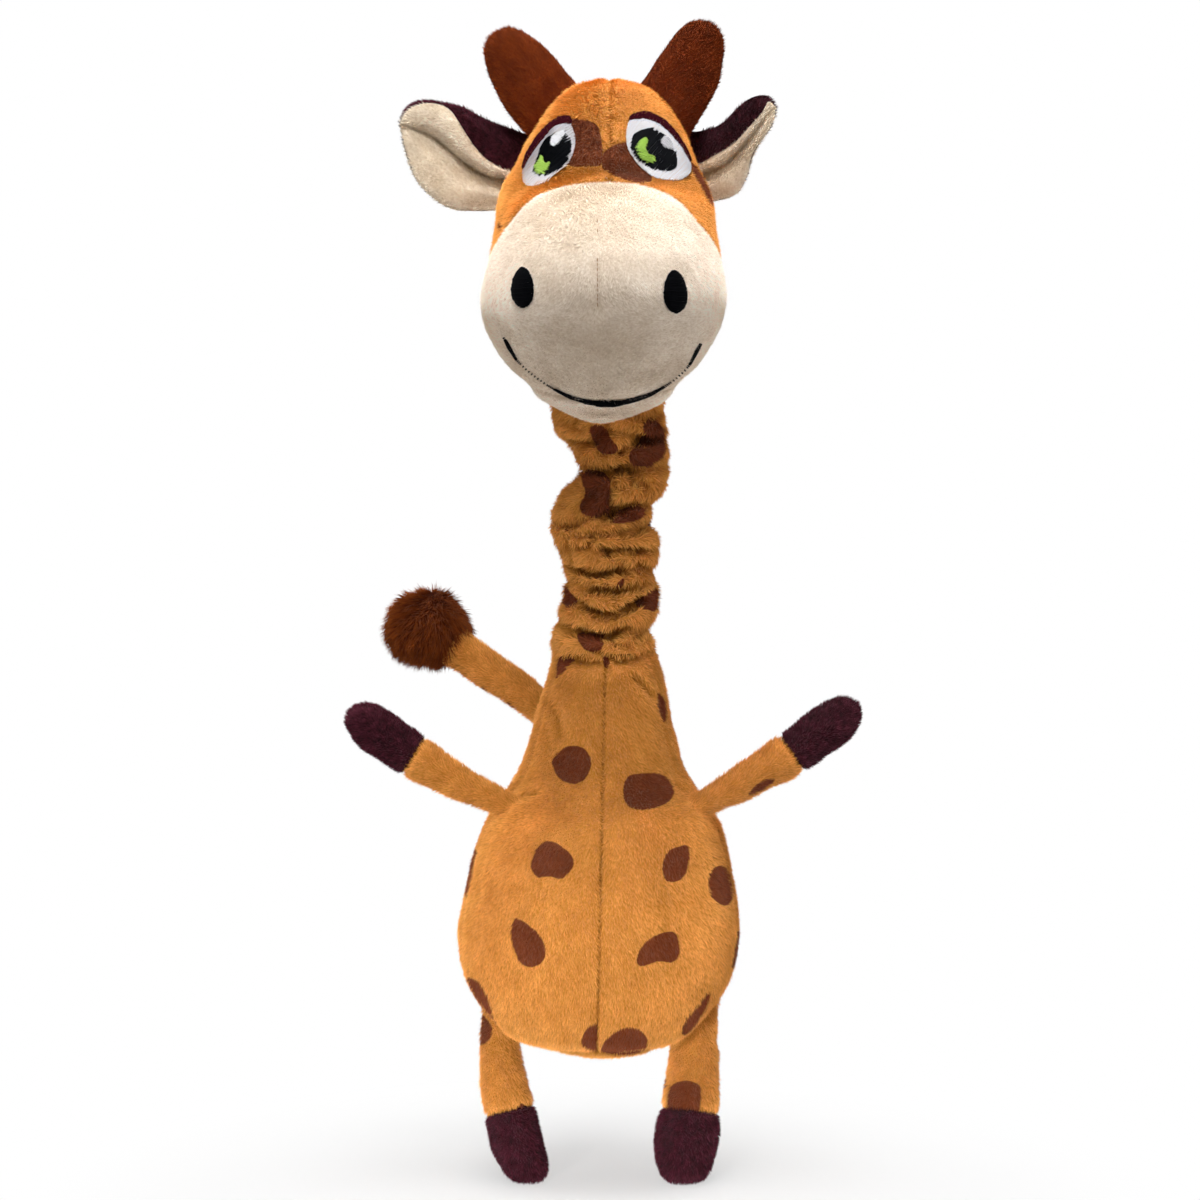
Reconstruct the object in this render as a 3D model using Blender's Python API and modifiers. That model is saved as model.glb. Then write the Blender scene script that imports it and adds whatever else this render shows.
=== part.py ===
# Plush giraffe: a stuffed toy with a shirred neck sleeve over an elastic cord.
# Units are metres, +Z is up, the face looks along -Y, and +X is to the right of someone facing it.
# The origin lies on the floor, below the middle of the toy.
import math

import bmesh
import bpy
from mathutils import Matrix, Vector
from mathutils.bvhtree import BVHTree

# Fabric, thread and clearances
SKIN = 0.0018
SEAM_GAP = 0.0003
THREAD = 0.0005
THREAD_LIFT = 0.00035
FILLING_EASE = 0.0005
OVERRUN = 0.004
MERGE_SHARE = 0.1
SMOOTH_ANGLE = math.radians(40)

# Where the neck axis stands, so that the toy is centred front to back over the origin
MUZZLE_REACH = 0.087
TAIL_REACH = 0.0565
AXIS_Y = (MUZZLE_REACH - TAIL_REACH) / 2

# Body: a pear of four panels and a base, sewn to the neck at its top
BASE_HEIGHT = 0.0435
BODY_HEIGHT = 0.1390
BELLY_WIDTH = 0.0962
BODY_LEAN = 0.0029
SIDE_SEAM_FORWARD = 0.0080
BASE_SEAM_RISE = 0.0040
COLLAR_EASE = 0.0012
BODY_SIDES = 24
# Height share, half-width share of the belly's
BODY_SHARES = (
    (0.000, 0.24), (0.009, 0.37), (0.030, 0.55), (0.080, 0.73), (0.139, 0.859), (0.210, 0.955),
    (0.290, 1.000), (0.370, 0.988), (0.450, 0.943), (0.536, 0.879), (0.590, 0.815), (0.640, 0.722),
    (0.700, 0.618), (0.784, 0.528), (0.890, 0.446),
)
BODY_FRONT_SHARE = 0.92
BODY_BACK_SHARE = 0.86

# Neck: a gathered sleeve, its folds counted from the body up
NECK_RADIUS = 0.0158
NECK_PITCH = 0.0091
NECK_FOLD_DEPTH = 0.0026
NECK_SWAY = 0.0070
NECK_SKIN = 0.0015
NECK_SIDES = 14
# Rise from one ring of the gathers to the next
NECK_STEP_RISE = 0.00455
NECK_SHOWN = 0.0778
# How far the sleeve's back runs up behind the chin
NECK_TUCK = 0.0365
# Lengths of sleeve below the head, each of whole folds
NECK_LENGTHS = {"base": 0.0182, "lower": 0.0182, "middle": 0.0273, "upper": 0.0091}
# Height share of the shown neck, sideways share of the sway
NECK_SWAY_SHARES = (
    (0.00, 0.20), (0.06, 0.03), (0.14, 0.20), (0.23, 0.47), (0.32, 0.51), (0.41, 0.41), (0.50, 0.27),
    (0.59, -0.07), (0.68, 0.31), (0.77, 0.89), (0.85, 1.00), (0.94, 0.74), (1.03, 0.37), (1.50, 0.30),
)
ELASTIC_RADIUS = 0.0020
ELASTIC_SIDE = 0.0022
ANCHOR_RADIUS = 0.0050
ANCHOR_DEPTH = 0.0130
ANCHOR_RISE = 0.0330

# Head: level rings from the chin to the crown
HEAD_HEIGHT = 0.1202
HEAD_WIDTH = 0.0796
HEAD_LEAN = 0.0028
HEAD_SIDES = 28
# Height share, half-width share, then the middle, the front and the back of the ring as shares of the
# muzzle's reach, where minus is forward of the neck axis
HEAD_SHARES = (
    (0.004, 0.140, -0.540, -0.620, -0.460), (0.018, 0.290, -0.540, -0.700, -0.380),
    (0.047, 0.460, -0.540, -0.775, -0.250), (0.101, 0.620, -0.540, -0.860, -0.110),
    (0.155, 0.785, -0.535, -0.920, 0.005), (0.209, 0.897, -0.525, -0.965, 0.100),
    (0.265, 0.975, -0.515, -0.992, 0.185), (0.320, 1.000, -0.500, -1.000, 0.253),
    (0.379, 0.980, -0.465, -0.985, 0.305), (0.441, 0.947, -0.405, -0.935, 0.345),
    (0.508, 0.912, -0.320, -0.840, 0.380), (0.560, 0.905, -0.230, -0.725, 0.400),
    (0.605, 0.903, -0.155, -0.590, 0.410), (0.640, 0.890, -0.100, -0.455, 0.414),
    (0.675, 0.865, -0.060, -0.400, 0.414), (0.740, 0.774, -0.030, -0.360, 0.400),
    (0.839, 0.648, 0.000, -0.285, 0.356), (0.928, 0.467, 0.020, -0.185, 0.276),
    (0.975, 0.290, 0.030, -0.100, 0.184), (0.996, 0.120, 0.035, -0.020, 0.090),
)
# The muzzle's seam leans back from the brow to the throat, and the chin's from the lip to the throat
# Each place is a share of the muzzle's reach and a share of the head's height
MUZZLE_SEAM_TOP_SHARES = (-0.448, 0.638)
MUZZLE_SEAM_FOOT_SHARES = (-0.172, 0.017)
CHIN_SEAM_FRONT_SHARES = (-0.851, 0.013)
CHIN_SEAM_BACK_SHARES = (-0.172, 0.200)

# Eyes, nostrils and mouth: places are shares of the head's half-width and height, sizes are halves
EYE_LEFT_PLACE_SHARES = (-0.432, 0.732)
EYE_LEFT_HALF = (0.0088, 0.0103)
EYE_RIGHT_PLACE_SHARES = (0.472, 0.746)
EYE_RIGHT_HALF = (0.0105, 0.0100)
NOSTRIL_LEFT_PLACE_SHARES = (-0.608, 0.317)
NOSTRIL_RIGHT_PLACE_SHARES = (0.583, 0.310)
NOSTRIL_HALF = (0.0036, 0.0066)
MOUTH_THREAD = 0.0008
MOUTH_WIDTH_SHARE = 0.794
MOUTH_FOOT_SHARE = 0.024
MOUTH_RISE_SHARE = 0.190
# Sizes of the rings that carry a stitched patch over the curve of the head
PATCH_RING_SHARES = (1.00, 0.67, 0.33)
EYE_LEFT_SHARES = (
    (0.66, 1.00), (1.00, 0.55), (0.89, 0.00), (0.66, -0.32), (0.17, -0.77), (-0.32, -0.94),
    (-0.81, -1.00), (-1.00, -0.71), (-0.96, -0.39), (-0.70, -0.03), (-0.36, 0.42), (0.17, 0.84),
)
IRIS_LEFT_SHARES = (
    (0.58, 0.77), (0.81, 0.55), (0.85, 0.26), (0.70, -0.13), (0.43, -0.45), (0.17, -0.61),
    (-0.21, -0.74), (-0.58, -0.61), (-0.58, -0.42), (-0.47, -0.13), (-0.13, 0.35), (0.17, 0.65),
)
EYE_RIGHT_SHARES = (
    (-0.46, 1.00), (-0.87, 0.87), (-1.00, 0.27), (-0.90, -0.17), (-0.59, -0.53), (-0.24, -0.87),
    (0.21, -1.00), (0.75, -0.97), (1.00, -0.67), (0.94, -0.20), (0.56, 0.40), (0.11, 0.83),
)
IRIS_RIGHT_SHARES = (
    (-0.37, 0.73), (-0.87, 0.43), (-0.90, 0.17), (-0.68, -0.30), (-0.33, -0.63), (0.17, -0.77),
    (0.52, -0.50), (0.56, -0.20), (0.40, 0.17), (-0.05, 0.60),
)
NOSTRIL_SHARES = (
    (0.10, 1.00), (0.70, 0.62), (0.98, 0.00), (0.86, -0.60), (0.30, -1.00), (-0.40, -0.98),
    (-0.90, -0.55), (-0.98, 0.05), (-0.65, 0.70),
)
# Sideways share and height share of the smile, from one end to the other
MOUTH_SHARES = (
    (-1.00, 1.00), (-0.90, 0.74), (-0.78, 0.56), (-0.64, 0.39), (-0.42, 0.17), (-0.18, 0.04),
    (0.10, 0.00), (0.36, 0.07), (0.60, 0.24), (0.80, 0.49), (0.92, 0.73), (1.00, 0.93),
)

# Ears and horns: leaf outlines on a base line that is tilted from upright. A foot is a place on the
# head, as shares of its half-width and height
EAR_BASE = 0.0276
EAR_REACH = 0.0425
EAR_THICK = 0.0050
EAR_LINING = 0.0016
EAR_DEPTH = 0.0120
EAR_TILT = math.radians(16)
EAR_LEFT_FOOT_SHARES = (-0.817, 0.627)
EAR_RIGHT_FOOT_SHARES = (0.925, 0.656)
EAR_LEFT_SWING = math.radians(6)
EAR_RIGHT_SWING = math.radians(40)
# Share of the base line, share of the reach
EAR_SHARES = (
    (0.08, -0.12), (-0.04, 0.10), (-0.15, 0.25), (-0.18, 0.39), (-0.10, 0.60), (0.10, 0.80),
    (0.46, 0.95), (0.68, 1.00), (0.86, 0.97), (1.04, 0.82), (1.07, 0.60), (0.99, 0.28), (0.95, -0.12),
)
EAR_LINING_SHARES = (
    (0.46, -0.30), (0.49, 0.11), (0.61, 0.33), (0.89, 0.58), (1.06, 0.81), (1.30, 1.05),
    (1.00, 1.40), (-0.70, 1.40), (-0.70, -0.30),
)
HORN_BASE = 0.0240
HORN_REACH = 0.0325
HORN_THICK = 0.0070
HORN_DEPTH = 0.0020
HORN_LEFT_FOOT_SHARES = (-0.641, 0.844)
HORN_RIGHT_FOOT_SHARES = (0.791, 0.853)
HORN_LEFT_TILT = math.radians(45)
HORN_RIGHT_TILT = math.radians(53)
HORN_SHARES = (
    (0.04, -0.14), (0.00, 0.14), (0.01, 0.32), (0.08, 0.60), (0.22, 0.83), (0.44, 0.98),
    (0.66, 1.00), (0.86, 0.92), (1.00, 0.76), (1.04, 0.48), (1.01, 0.20), (0.98, -0.14),
)
# Rise and width of the rings that make a pillowed half, from its rim to its middle
PILLOW_SHARES = ((0.26, 1.00), (0.58, 0.90), (0.84, 0.68), (0.97, 0.36), (1.00, 0.12))
FLAP_PIVOT = 0.0016
# How far each flap's foot is freed to swing, either way
EAR_SWAY = math.radians(20)
HORN_SWAY = math.radians(10)

# Arms
ARM_HEIGHT = 0.0870
ARM_FORWARD = math.radians(20)
ARM_LEFT_LENGTH = 0.0605
ARM_RIGHT_LENGTH = 0.0625
ARM_LEFT_RISE = math.radians(29)
ARM_RIGHT_RISE = math.radians(33)
ARM_CURL = math.radians(8)
ARM_RADIUS = 0.0073
ARM_HOOF_SHARE = 0.56
# Share of the length, share of the radius
ARM_SHARES = (
    (-0.20, 0.66), (0.00, 0.68), (0.12, 0.74), (0.25, 0.86), (0.42, 0.97), (0.56, 1.00), (0.70, 1.02),
    (0.83, 0.98), (0.91, 0.83), (0.965, 0.57), (0.99, 0.28),
)

# Legs: their roots lie on the body, and the knee and foot lie inwards and forwards of the root
LEG_HEIGHT = 0.0140
LEG_BACK = math.radians(22)
LEG_RADIUS = 0.0094
LEG_LEFT_SHARE = 0.90
LEG_RIGHT_SHARE = 1.04
LEG_LEFT_KNEE_IN = -0.0005
LEG_LEFT_FOOT_IN = 0.0104
LEG_RIGHT_KNEE_IN = 0.0014
LEG_RIGHT_FOOT_IN = 0.0062
LEG_KNEE_FORWARD = 0.0062
LEG_FOOT_FORWARD = 0.0132
LEG_KNEE_SHARE = 0.452
LEG_HOOF_SHARE = 0.56
LEG_SHARES = (
    (-0.14, 0.66), (0.00, 0.68), (0.14, 0.75), (0.28, 0.84), (0.44, 0.93), (0.56, 1.00), (0.68, 1.06),
    (0.78, 1.07), (0.87, 0.96), (0.94, 0.72), (0.98, 0.42),
)
SOLE_CUT = 0.0005
CUFF_LENGTH = 0.0130
LIMB_SIDES = 10
TUFT_SIDES = 16

# Tail: it leaves the back, turns beside the body and ends in a tuft, all given from its root
TAIL_HEIGHT = 0.1030
TAIL_TURN = (-0.0257, 0.0094, 0.0190)
TAIL_END_SIDE = -0.0635
TAIL_END_RISE = 0.0442
TAIL_RADIUS = 0.0060
TAIL_SHARES = (
    (-0.10, 0.88), (0.00, 0.88), (0.20, 0.88), (0.40, 0.92), (0.60, 0.98), (0.78, 1.06), (0.86, 1.10),
)
TUFT_HALF = (0.0158, 0.0150, 0.0150)
TUFT_SOCKET = 0.0060

# Squeaker, inside the belly
SQUEAKER_HEIGHT = 0.0480
SQUEAKER_RADIUS = 0.0160
SQUEAKER_TALL = 0.0150
SQUEAKER_WALL = 0.0012
SQUEAKER_MOUTH = 0.0042
SQUEAKER_ROUND_SHARES = ((0.55, 0.00), (0.86, 0.06), (1.00, 0.28), (1.00, 0.72), (0.86, 0.94), (0.55, 1.00))
REED_TALL = 0.0060

# Where a neck joint's axis lies along its own length of sleeve
SWAY_SHARE = 0.50
TURN_SHARE = 0.60

# Finishes: colour as hex, roughness
FINISHES = {
    "orange_plush": ("D98A3A", 0.90),
    "cream_plush": ("EAD3B2", 0.90),
    "horn_suede": ("7A3F1C", 0.92),
    "plum_plush": ("3E1F29", 0.92),
    "tuft_fur": ("6B3418", 0.95),
    "white_thread": ("F4F4F6", 0.55),
    "black_thread": ("15161A", 0.50),
    "fibre_filling": ("F2F2EE", 0.95),
    "elastic_cord": ("D8D8D0", 0.70),
    "squeaker_plastic": ("E8E8E4", 0.35),
}

BODY_TOP = BASE_HEIGHT + BODY_HEIGHT
CHIN = BODY_TOP + NECK_SHOWN
NECK_FOLDS = {name: round(length / NECK_PITCH) for name, length in NECK_LENGTHS.items()}
NECK_FOLDS["top"] = math.ceil((NECK_SHOWN + NECK_TUCK) / NECK_PITCH) - sum(NECK_FOLDS.values())
BODY_PROFILE_SHARES = (*BODY_SHARES, (1.000, (NECK_RADIUS + COLLAR_EASE) / (BELLY_WIDTH / 2)))
# A cutting block is larger than the whole toy
BLOCK_SIZE = 2 * (CHIN + HEAD_HEIGHT + HORN_REACH)
FULL_CHANNEL = 255


def clear_scene():
    """Empties the scene, so that only the toy is in it."""
    for old in list(bpy.data.objects):
        bpy.data.objects.remove(old, do_unlink=True)


def new_collection(name):
    collection = bpy.data.collections.new(name)
    bpy.context.scene.collection.children.link(collection)
    return collection


def linear(channel):
    """One sRGB channel, 0 to 1, as linear light."""
    return channel / 12.92 if channel <= 0.04045 else ((channel + 0.055) / 1.055) ** 2.4


def finish(name):
    """The material of that name, made the first time it is asked for."""
    if name in bpy.data.materials:
        return bpy.data.materials[name]
    colour, roughness = FINISHES[name]
    material = bpy.data.materials.new(name)
    material.use_nodes = True
    shader = material.node_tree.nodes["Principled BSDF"]
    channels = [linear(int(colour[at:at + 2], 16) / FULL_CHANNEL) for at in (0, 2, 4)]
    shader.inputs["Base Color"].default_value = (*channels, 1)
    shader.inputs["Roughness"].default_value = roughness
    return material


def between(table, share):
    """The value beside a share in a table of rows, on straight runs from row to row."""
    if share <= table[0][0]:
        return table[0][1]
    for (low, start), (high, end) in zip(table, table[1:]):
        if share <= high:
            return start + (end - start) * (share - low) / (high - low)
    return table[-1][1]


def axis_point(side, depth, height):
    """A point given from the neck axis on the floor: sideways, back and up."""
    return Vector((side, AXIS_Y + depth, height))


# Shapes


def loft(rings, close_start=False, close_end=False):
    """A skin through rings of equal count, with its ends closed to a middle point where asked."""
    shape = bmesh.new()
    loops = [[shape.verts.new(point) for point in ring] for ring in rings]
    for low, high in zip(loops, loops[1:]):
        for here, after in zip(range(len(low)), [*range(1, len(low)), 0]):
            shape.faces.new((low[here], low[after], high[after], high[here]))
    caps = []
    if close_start:
        caps.append(shape.faces.new(loops[0][::-1]))
    if close_end:
        caps.append(shape.faces.new(loops[-1]))
    if caps:
        bmesh.ops.poke(shape, faces=caps)
    shape.normal_update()
    return shape


def shrunk(shape, distance):
    """The same shape with its surface moved in, or out where the distance is negative."""
    shape.normal_update()
    moves = [(vert, vert.normal * distance) for vert in shape.verts]
    for vert, move in moves:
        vert.co -= move
    return shape


def filling_of(shape, inset):
    """The stuffing inside a skin that is open at one end: moved in, then closed flat at that end."""
    shrunk(shape, inset)
    bmesh.ops.holes_fill(shape, edges=[edge for edge in shape.edges if edge.is_boundary])
    return shape


def add_object(name, shape, material, collection):
    mesh = bpy.data.meshes.new(name)
    shape.to_mesh(mesh)
    shape.free()
    mesh.shade_smooth()
    mesh.set_sharp_from_angle(angle=SMOOTH_ANGLE)
    if material:
        mesh.materials.append(finish(material))
    made = bpy.data.objects.new(name, mesh)
    collection.objects.link(made)
    return made


def add_cutter(name, shape):
    cutter = add_object(name, shape, None, CUTTERS)
    cutter.hide_render = True
    cutter.display_type = "WIRE"
    return cutter


def add_skin(name, shape, material, thickness=SKIN):
    """A fabric shell: the outer surface given its thickness inwards."""
    skin = add_object(name, shape, material, TOY)
    solidify = skin.modifiers.new("fabric", "SOLIDIFY")
    solidify.thickness = thickness
    solidify.offset = -1
    return skin


def cut(piece, cutter, operation="DIFFERENCE"):
    boolean = piece.modifiers.new(cutter.name, "BOOLEAN")
    boolean.operation = operation
    boolean.solver = "EXACT"
    boolean.object = cutter
    return piece


def half_space(name, point, outward):
    """A large box on one side of a plane, set back by half a seam gap."""
    shape = bmesh.new()
    bmesh.ops.create_cube(shape, size=BLOCK_SIZE)
    outward = outward.normalized()
    turn = outward.to_track_quat("Z", "Y").to_matrix().to_4x4()
    centre = point + outward * (BLOCK_SIZE + SEAM_GAP) / 2
    shape.transform(Matrix.Translation(centre) @ turn)
    return add_cutter(name, shape)


def cylinder(radius, low, high, centre, sides=LIMB_SIDES):
    """An upright closed cylinder between two heights."""
    shape = bmesh.new()
    bmesh.ops.create_cone(
        shape, cap_ends=True, segments=sides, radius1=radius, radius2=radius, depth=high - low
    )
    shape.transform(Matrix.Translation((centre.x, centre.y, (low + high) / 2)))
    return shape


def outline_of(shares, width, height):
    """A closed outline from shares of its width and height, in the order that turns left."""
    points = [Vector((across * width, up * height)) for across, up in shares]
    area = sum(here.x * after.y - after.x * here.y for here, after in zip(points, points[1:] + points[:1]))
    return points if area > 0 else points[::-1]


def middle_of(points):
    return sum(points, Vector((0, 0))) / len(points)


# Body


def body_half_width(height):
    return BELLY_WIDTH / 2 * between(BODY_PROFILE_SHARES, height / BODY_HEIGHT)


def body_ring(height, sides):
    """A ring of the body at a height above its base, rounder towards the neck."""
    share = height / BODY_HEIGHT
    half = body_half_width(height)
    front = half * (BODY_FRONT_SHARE + (1 - BODY_FRONT_SHARE) * share)
    back = half * (BODY_BACK_SHARE + (1 - BODY_BACK_SHARE) * share)
    centre = axis_point(BODY_LEAN * (share - 1 / 2), 0, BASE_HEIGHT + height)
    return level_ring(centre, half, front, back, sides)


def level_ring(centre, half, front, back, sides):
    """A level ring of two half ellipses, its first point half a step past the side."""
    points = []
    for step in range(sides):
        turn = math.tau * (step + 1 / 2) / sides
        reach = back if math.sin(turn) > 0 else front
        points.append(centre + Vector((half * math.cos(turn), reach * math.sin(turn), 0)))
    return points


def body_shape(close_top, sides=BODY_SIDES):
    rings = [body_ring(share * BODY_HEIGHT, sides) for share, _ in BODY_PROFILE_SHARES]
    return loft(rings, close_start=True, close_end=close_top)


def body_point(height, turn):
    """A point of the body's surface, at a height above its base and a turn from its right to its back."""
    share = height / BODY_HEIGHT
    half = body_half_width(height)
    depth_share = BODY_BACK_SHARE if math.sin(turn) > 0 else BODY_FRONT_SHARE
    depth = half * (depth_share + (1 - depth_share) * share)
    side = BODY_LEAN * (share - 1 / 2) + half * math.cos(turn)
    return axis_point(side, depth * math.sin(turn), BASE_HEIGHT + height)


def make_body():
    """Four panels and a base, with the filling in two halves round the squeaker and the cord's anchor."""
    middle = axis_point(0, 0, BASE_HEIGHT + BODY_HEIGHT / 2)
    right = Vector((BODY_HEIGHT, 0, -BODY_LEAN))
    side_seam = axis_point(0, -SIDE_SEAM_FORWARD, BASE_HEIGHT)
    base_seam = axis_point(0, 0, BASE_HEIGHT + BASE_SEAM_RISE)
    sides = {
        "right": half_space("body_right_half", middle, right),
        "left": half_space("body_left_half", middle, -right),
    }
    depths = {
        "front": half_space("body_front_half", side_seam, Vector((0, -1, 0))),
        "back": half_space("body_back_half", side_seam, Vector((0, 1, 0))),
    }
    above = half_space("above_base_seam", base_seam, Vector((0, 0, 1)))
    below = half_space("below_base_seam", base_seam, Vector((0, 0, -1)))
    for depth, depth_half in depths.items():
        for side, side_half in sides.items():
            panel = add_skin(f"body_{depth}_{side}", body_shape(close_top=False), "orange_plush")
            for region in (side_half, depth_half, above):
                cut(panel, region, "INTERSECT")
    base = add_skin("base_panel", body_shape(close_top=False), "orange_plush")
    cut(base, below, "INTERSECT")

    pocket_low = BASE_HEIGHT + SQUEAKER_HEIGHT
    pocket_high = pocket_low + SQUEAKER_TALL + REED_TALL / 2
    pocket = cylinder(
        SQUEAKER_RADIUS + SEAM_GAP, pocket_low - SEAM_GAP, pocket_high + SEAM_GAP,
        axis_point(0, 0, 0), BODY_SIDES,
    )
    pocket = add_cutter("squeaker_pocket", pocket)
    anchor = axis_point(ELASTIC_SIDE, 0, BODY_TOP - ANCHOR_DEPTH)
    bore_low = anchor.z - ANCHOR_RADIUS - SEAM_GAP
    bore = cylinder(ANCHOR_RADIUS + SEAM_GAP, bore_low, BODY_TOP + OVERRUN, anchor)
    bore = add_cutter("body_anchor_bore", bore)
    for depth, direction in (("front", -1), ("back", 1)):
        plain = body_shape(close_top=False, sides=BODY_SIDES // 2)
        plain = filling_of(plain, SKIN + SEAM_GAP + FILLING_EASE)
        filling = add_object(f"body_filling_{depth}", plain, "fibre_filling", TOY)
        half = half_space(f"filling_{depth}_half", axis_point(0, 0, BASE_HEIGHT), Vector((0, direction, 0)))
        cut(filling, half, "INTERSECT")
        cut(filling, pocket)
        cut(filling, bore)
    add_object("neck_anchor_lower", ball(ANCHOR_RADIUS, anchor), "elastic_cord", TOY)


def ball(radius, centre):
    shape = bmesh.new()
    bmesh.ops.create_uvsphere(shape, u_segments=LIMB_SIDES, v_segments=LIMB_SIDES // 2, radius=radius)
    shape.transform(Matrix.Translation(centre))
    return shape


def make_squeaker():
    """A hollow bulb with its mouth up and a reed standing in the mouth."""
    foot = BASE_HEIGHT + SQUEAKER_HEIGHT
    hollow_radius = SQUEAKER_RADIUS - SQUEAKER_WALL
    hollow_tall = SQUEAKER_TALL - 2 * SQUEAKER_WALL
    outer = [(SQUEAKER_RADIUS * across, SQUEAKER_TALL * up) for across, up in SQUEAKER_ROUND_SHARES]
    inner = [
        (hollow_radius * across, SQUEAKER_WALL + hollow_tall * up) for across, up in SQUEAKER_ROUND_SHARES
    ]
    rim = [(SQUEAKER_MOUTH, SQUEAKER_TALL), (SQUEAKER_MOUTH, SQUEAKER_TALL - SQUEAKER_WALL)]
    profile = [(0, 0), *outer, *rim, *inner[::-1], (0, SQUEAKER_WALL)]
    shape = bmesh.new()
    verts = [shape.verts.new((across, 0, up)) for across, up in profile[::-1]]
    for start, end in zip(verts, verts[1:]):
        shape.edges.new((start, end))
    bulb = add_object("squeaker_bulb", shape, "squeaker_plastic", TOY)
    bulb.location = axis_point(0, 0, foot)
    screw = bulb.modifiers.new("turned", "SCREW")
    screw.steps = screw.render_steps = BODY_SIDES // 2
    screw.use_merge_vertices = True
    screw.merge_threshold = SEAM_GAP * MERGE_SHARE
    seat = foot + SQUEAKER_TALL - REED_TALL / 2
    reed = cylinder(SQUEAKER_MOUTH - SEAM_GAP, seat, seat + REED_TALL, axis_point(0, 0, 0))
    add_object("squeaker_reed", reed, "squeaker_plastic", TOY)


# Neck


def neck_ring(rise):
    """A ring of the gathered sleeve: full in the middle of a fold and drawn in between folds."""
    turn = math.tau * rise / NECK_PITCH
    radius = NECK_RADIUS - NECK_FOLD_DEPTH * (1 + math.cos(turn)) / 2
    side = NECK_SWAY * between(NECK_SWAY_SHARES, rise / NECK_SHOWN)
    centre = axis_point(side, 0, BODY_TOP + SEAM_GAP + rise)
    return level_ring(centre, radius, radius, radius, NECK_SIDES)


def make_neck(head_clearance):
    """Lengths of sleeve, each of whole folds, over one elastic cord that ends in two anchors."""
    start = 0
    for name, folds in NECK_FOLDS.items():
        steps = folds * round(NECK_PITCH / NECK_STEP_RISE)
        length = folds * NECK_PITCH - SEAM_GAP
        rings = [neck_ring(start * NECK_PITCH + length * step / steps) for step in range(steps + 1)]
        sleeve = add_skin(f"neck_sleeve_{name}", loft(rings), "orange_plush", NECK_SKIN)
        if name in ("upper", "top"):
            cut(sleeve, head_clearance)
        start += folds
    low = BODY_TOP - ANCHOR_DEPTH + ANCHOR_RADIUS + SEAM_GAP
    high = CHIN + ANCHOR_RISE - ANCHOR_RADIUS - SEAM_GAP
    cord = cylinder(ELASTIC_RADIUS, low, high, axis_point(ELASTIC_SIDE, 0, 0))
    add_object("neck_elastic", cord, "elastic_cord", TOY)


# Head


def head_shape(sides=HEAD_SIDES):
    rings = []
    for up, wide, middle, front, back in HEAD_SHARES:
        centre = axis_point(HEAD_LEAN * up, MUZZLE_REACH * middle, CHIN + HEAD_HEIGHT * up)
        ahead = MUZZLE_REACH * (middle - front)
        behind = MUZZLE_REACH * (back - middle)
        rings.append(level_ring(centre, HEAD_WIDTH / 2 * wide, ahead, behind, sides))
    return loft(rings, close_start=True, close_end=True)


def seam_plane(front, back):
    """The point and the normal of a seam that runs straight between two places, seen from the side."""
    start, end = (
        axis_point(0, MUZZLE_REACH * depth, CHIN + HEAD_HEIGHT * up) for depth, up in (front, back)
    )
    return start, Vector((1, 0, 0)).cross(end - start)


def head_place(shares):
    """How far sideways and above the chin a place of the head lies."""
    return HEAD_WIDTH / 2 * shares[0], HEAD_HEIGHT * shares[1]


def make_head(neck_hole):
    """Two orange sides, a cream muzzle and a cream chin round one filling."""
    throat, forward = seam_plane(MUZZLE_SEAM_FOOT_SHARES, MUZZLE_SEAM_TOP_SHARES)
    lip, upward = seam_plane(CHIN_SEAM_FRONT_SHARES, CHIN_SEAM_BACK_SHARES)
    before_seam = half_space("before_muzzle_seam", throat, forward)
    behind_seam = half_space("behind_muzzle_seam", throat, -forward)
    above_chin = half_space("above_chin_seam", lip, upward)
    below_chin = half_space("below_chin_seam", lip, -upward)
    crown = axis_point(HEAD_LEAN, 0, CHIN + HEAD_HEIGHT)
    across = Vector((HEAD_HEIGHT, 0, -HEAD_LEAN))
    panels = {
        "head_skin_left": ("orange_plush", behind_seam, half_space("head_left_half", crown, -across)),
        "head_skin_right": ("orange_plush", behind_seam, half_space("head_right_half", crown, across)),
        "muzzle_panel": ("cream_plush", before_seam, above_chin),
        "chin_panel": ("cream_plush", before_seam, below_chin),
    }
    for name, (material, first, second) in panels.items():
        panel = add_skin(name, head_shape(), material)
        cut(panel, neck_hole)
        cut(panel, first, "INTERSECT")
        cut(panel, second, "INTERSECT")
    plain = shrunk(head_shape(HEAD_SIDES // 2), SKIN + SEAM_GAP + FILLING_EASE)
    filling = add_object("head_filling", plain, "fibre_filling", TOY)
    anchor = axis_point(ELASTIC_SIDE, 0, CHIN + ANCHOR_RISE)
    bore_high = anchor.z + ANCHOR_RADIUS + SEAM_GAP
    bore = cylinder(ANCHOR_RADIUS + SEAM_GAP, CHIN - OVERRUN, bore_high, anchor)
    cut(filling, add_cutter("head_anchor_bore", bore))
    add_object("neck_anchor_upper", ball(ANCHOR_RADIUS, anchor), "elastic_cord", TOY)


def on_head(tree, side, rise, lift):
    """The point a lift above the head, straight behind a place seen from the front."""
    start = axis_point(side, -BLOCK_SIZE, CHIN + rise)
    place, normal, _, _ = tree.ray_cast(start, Vector((0, 1, 0)))
    if place is None:
        place, normal, _, _ = tree.find_nearest(axis_point(side, 0, CHIN + rise))
    return place + normal * lift


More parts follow.
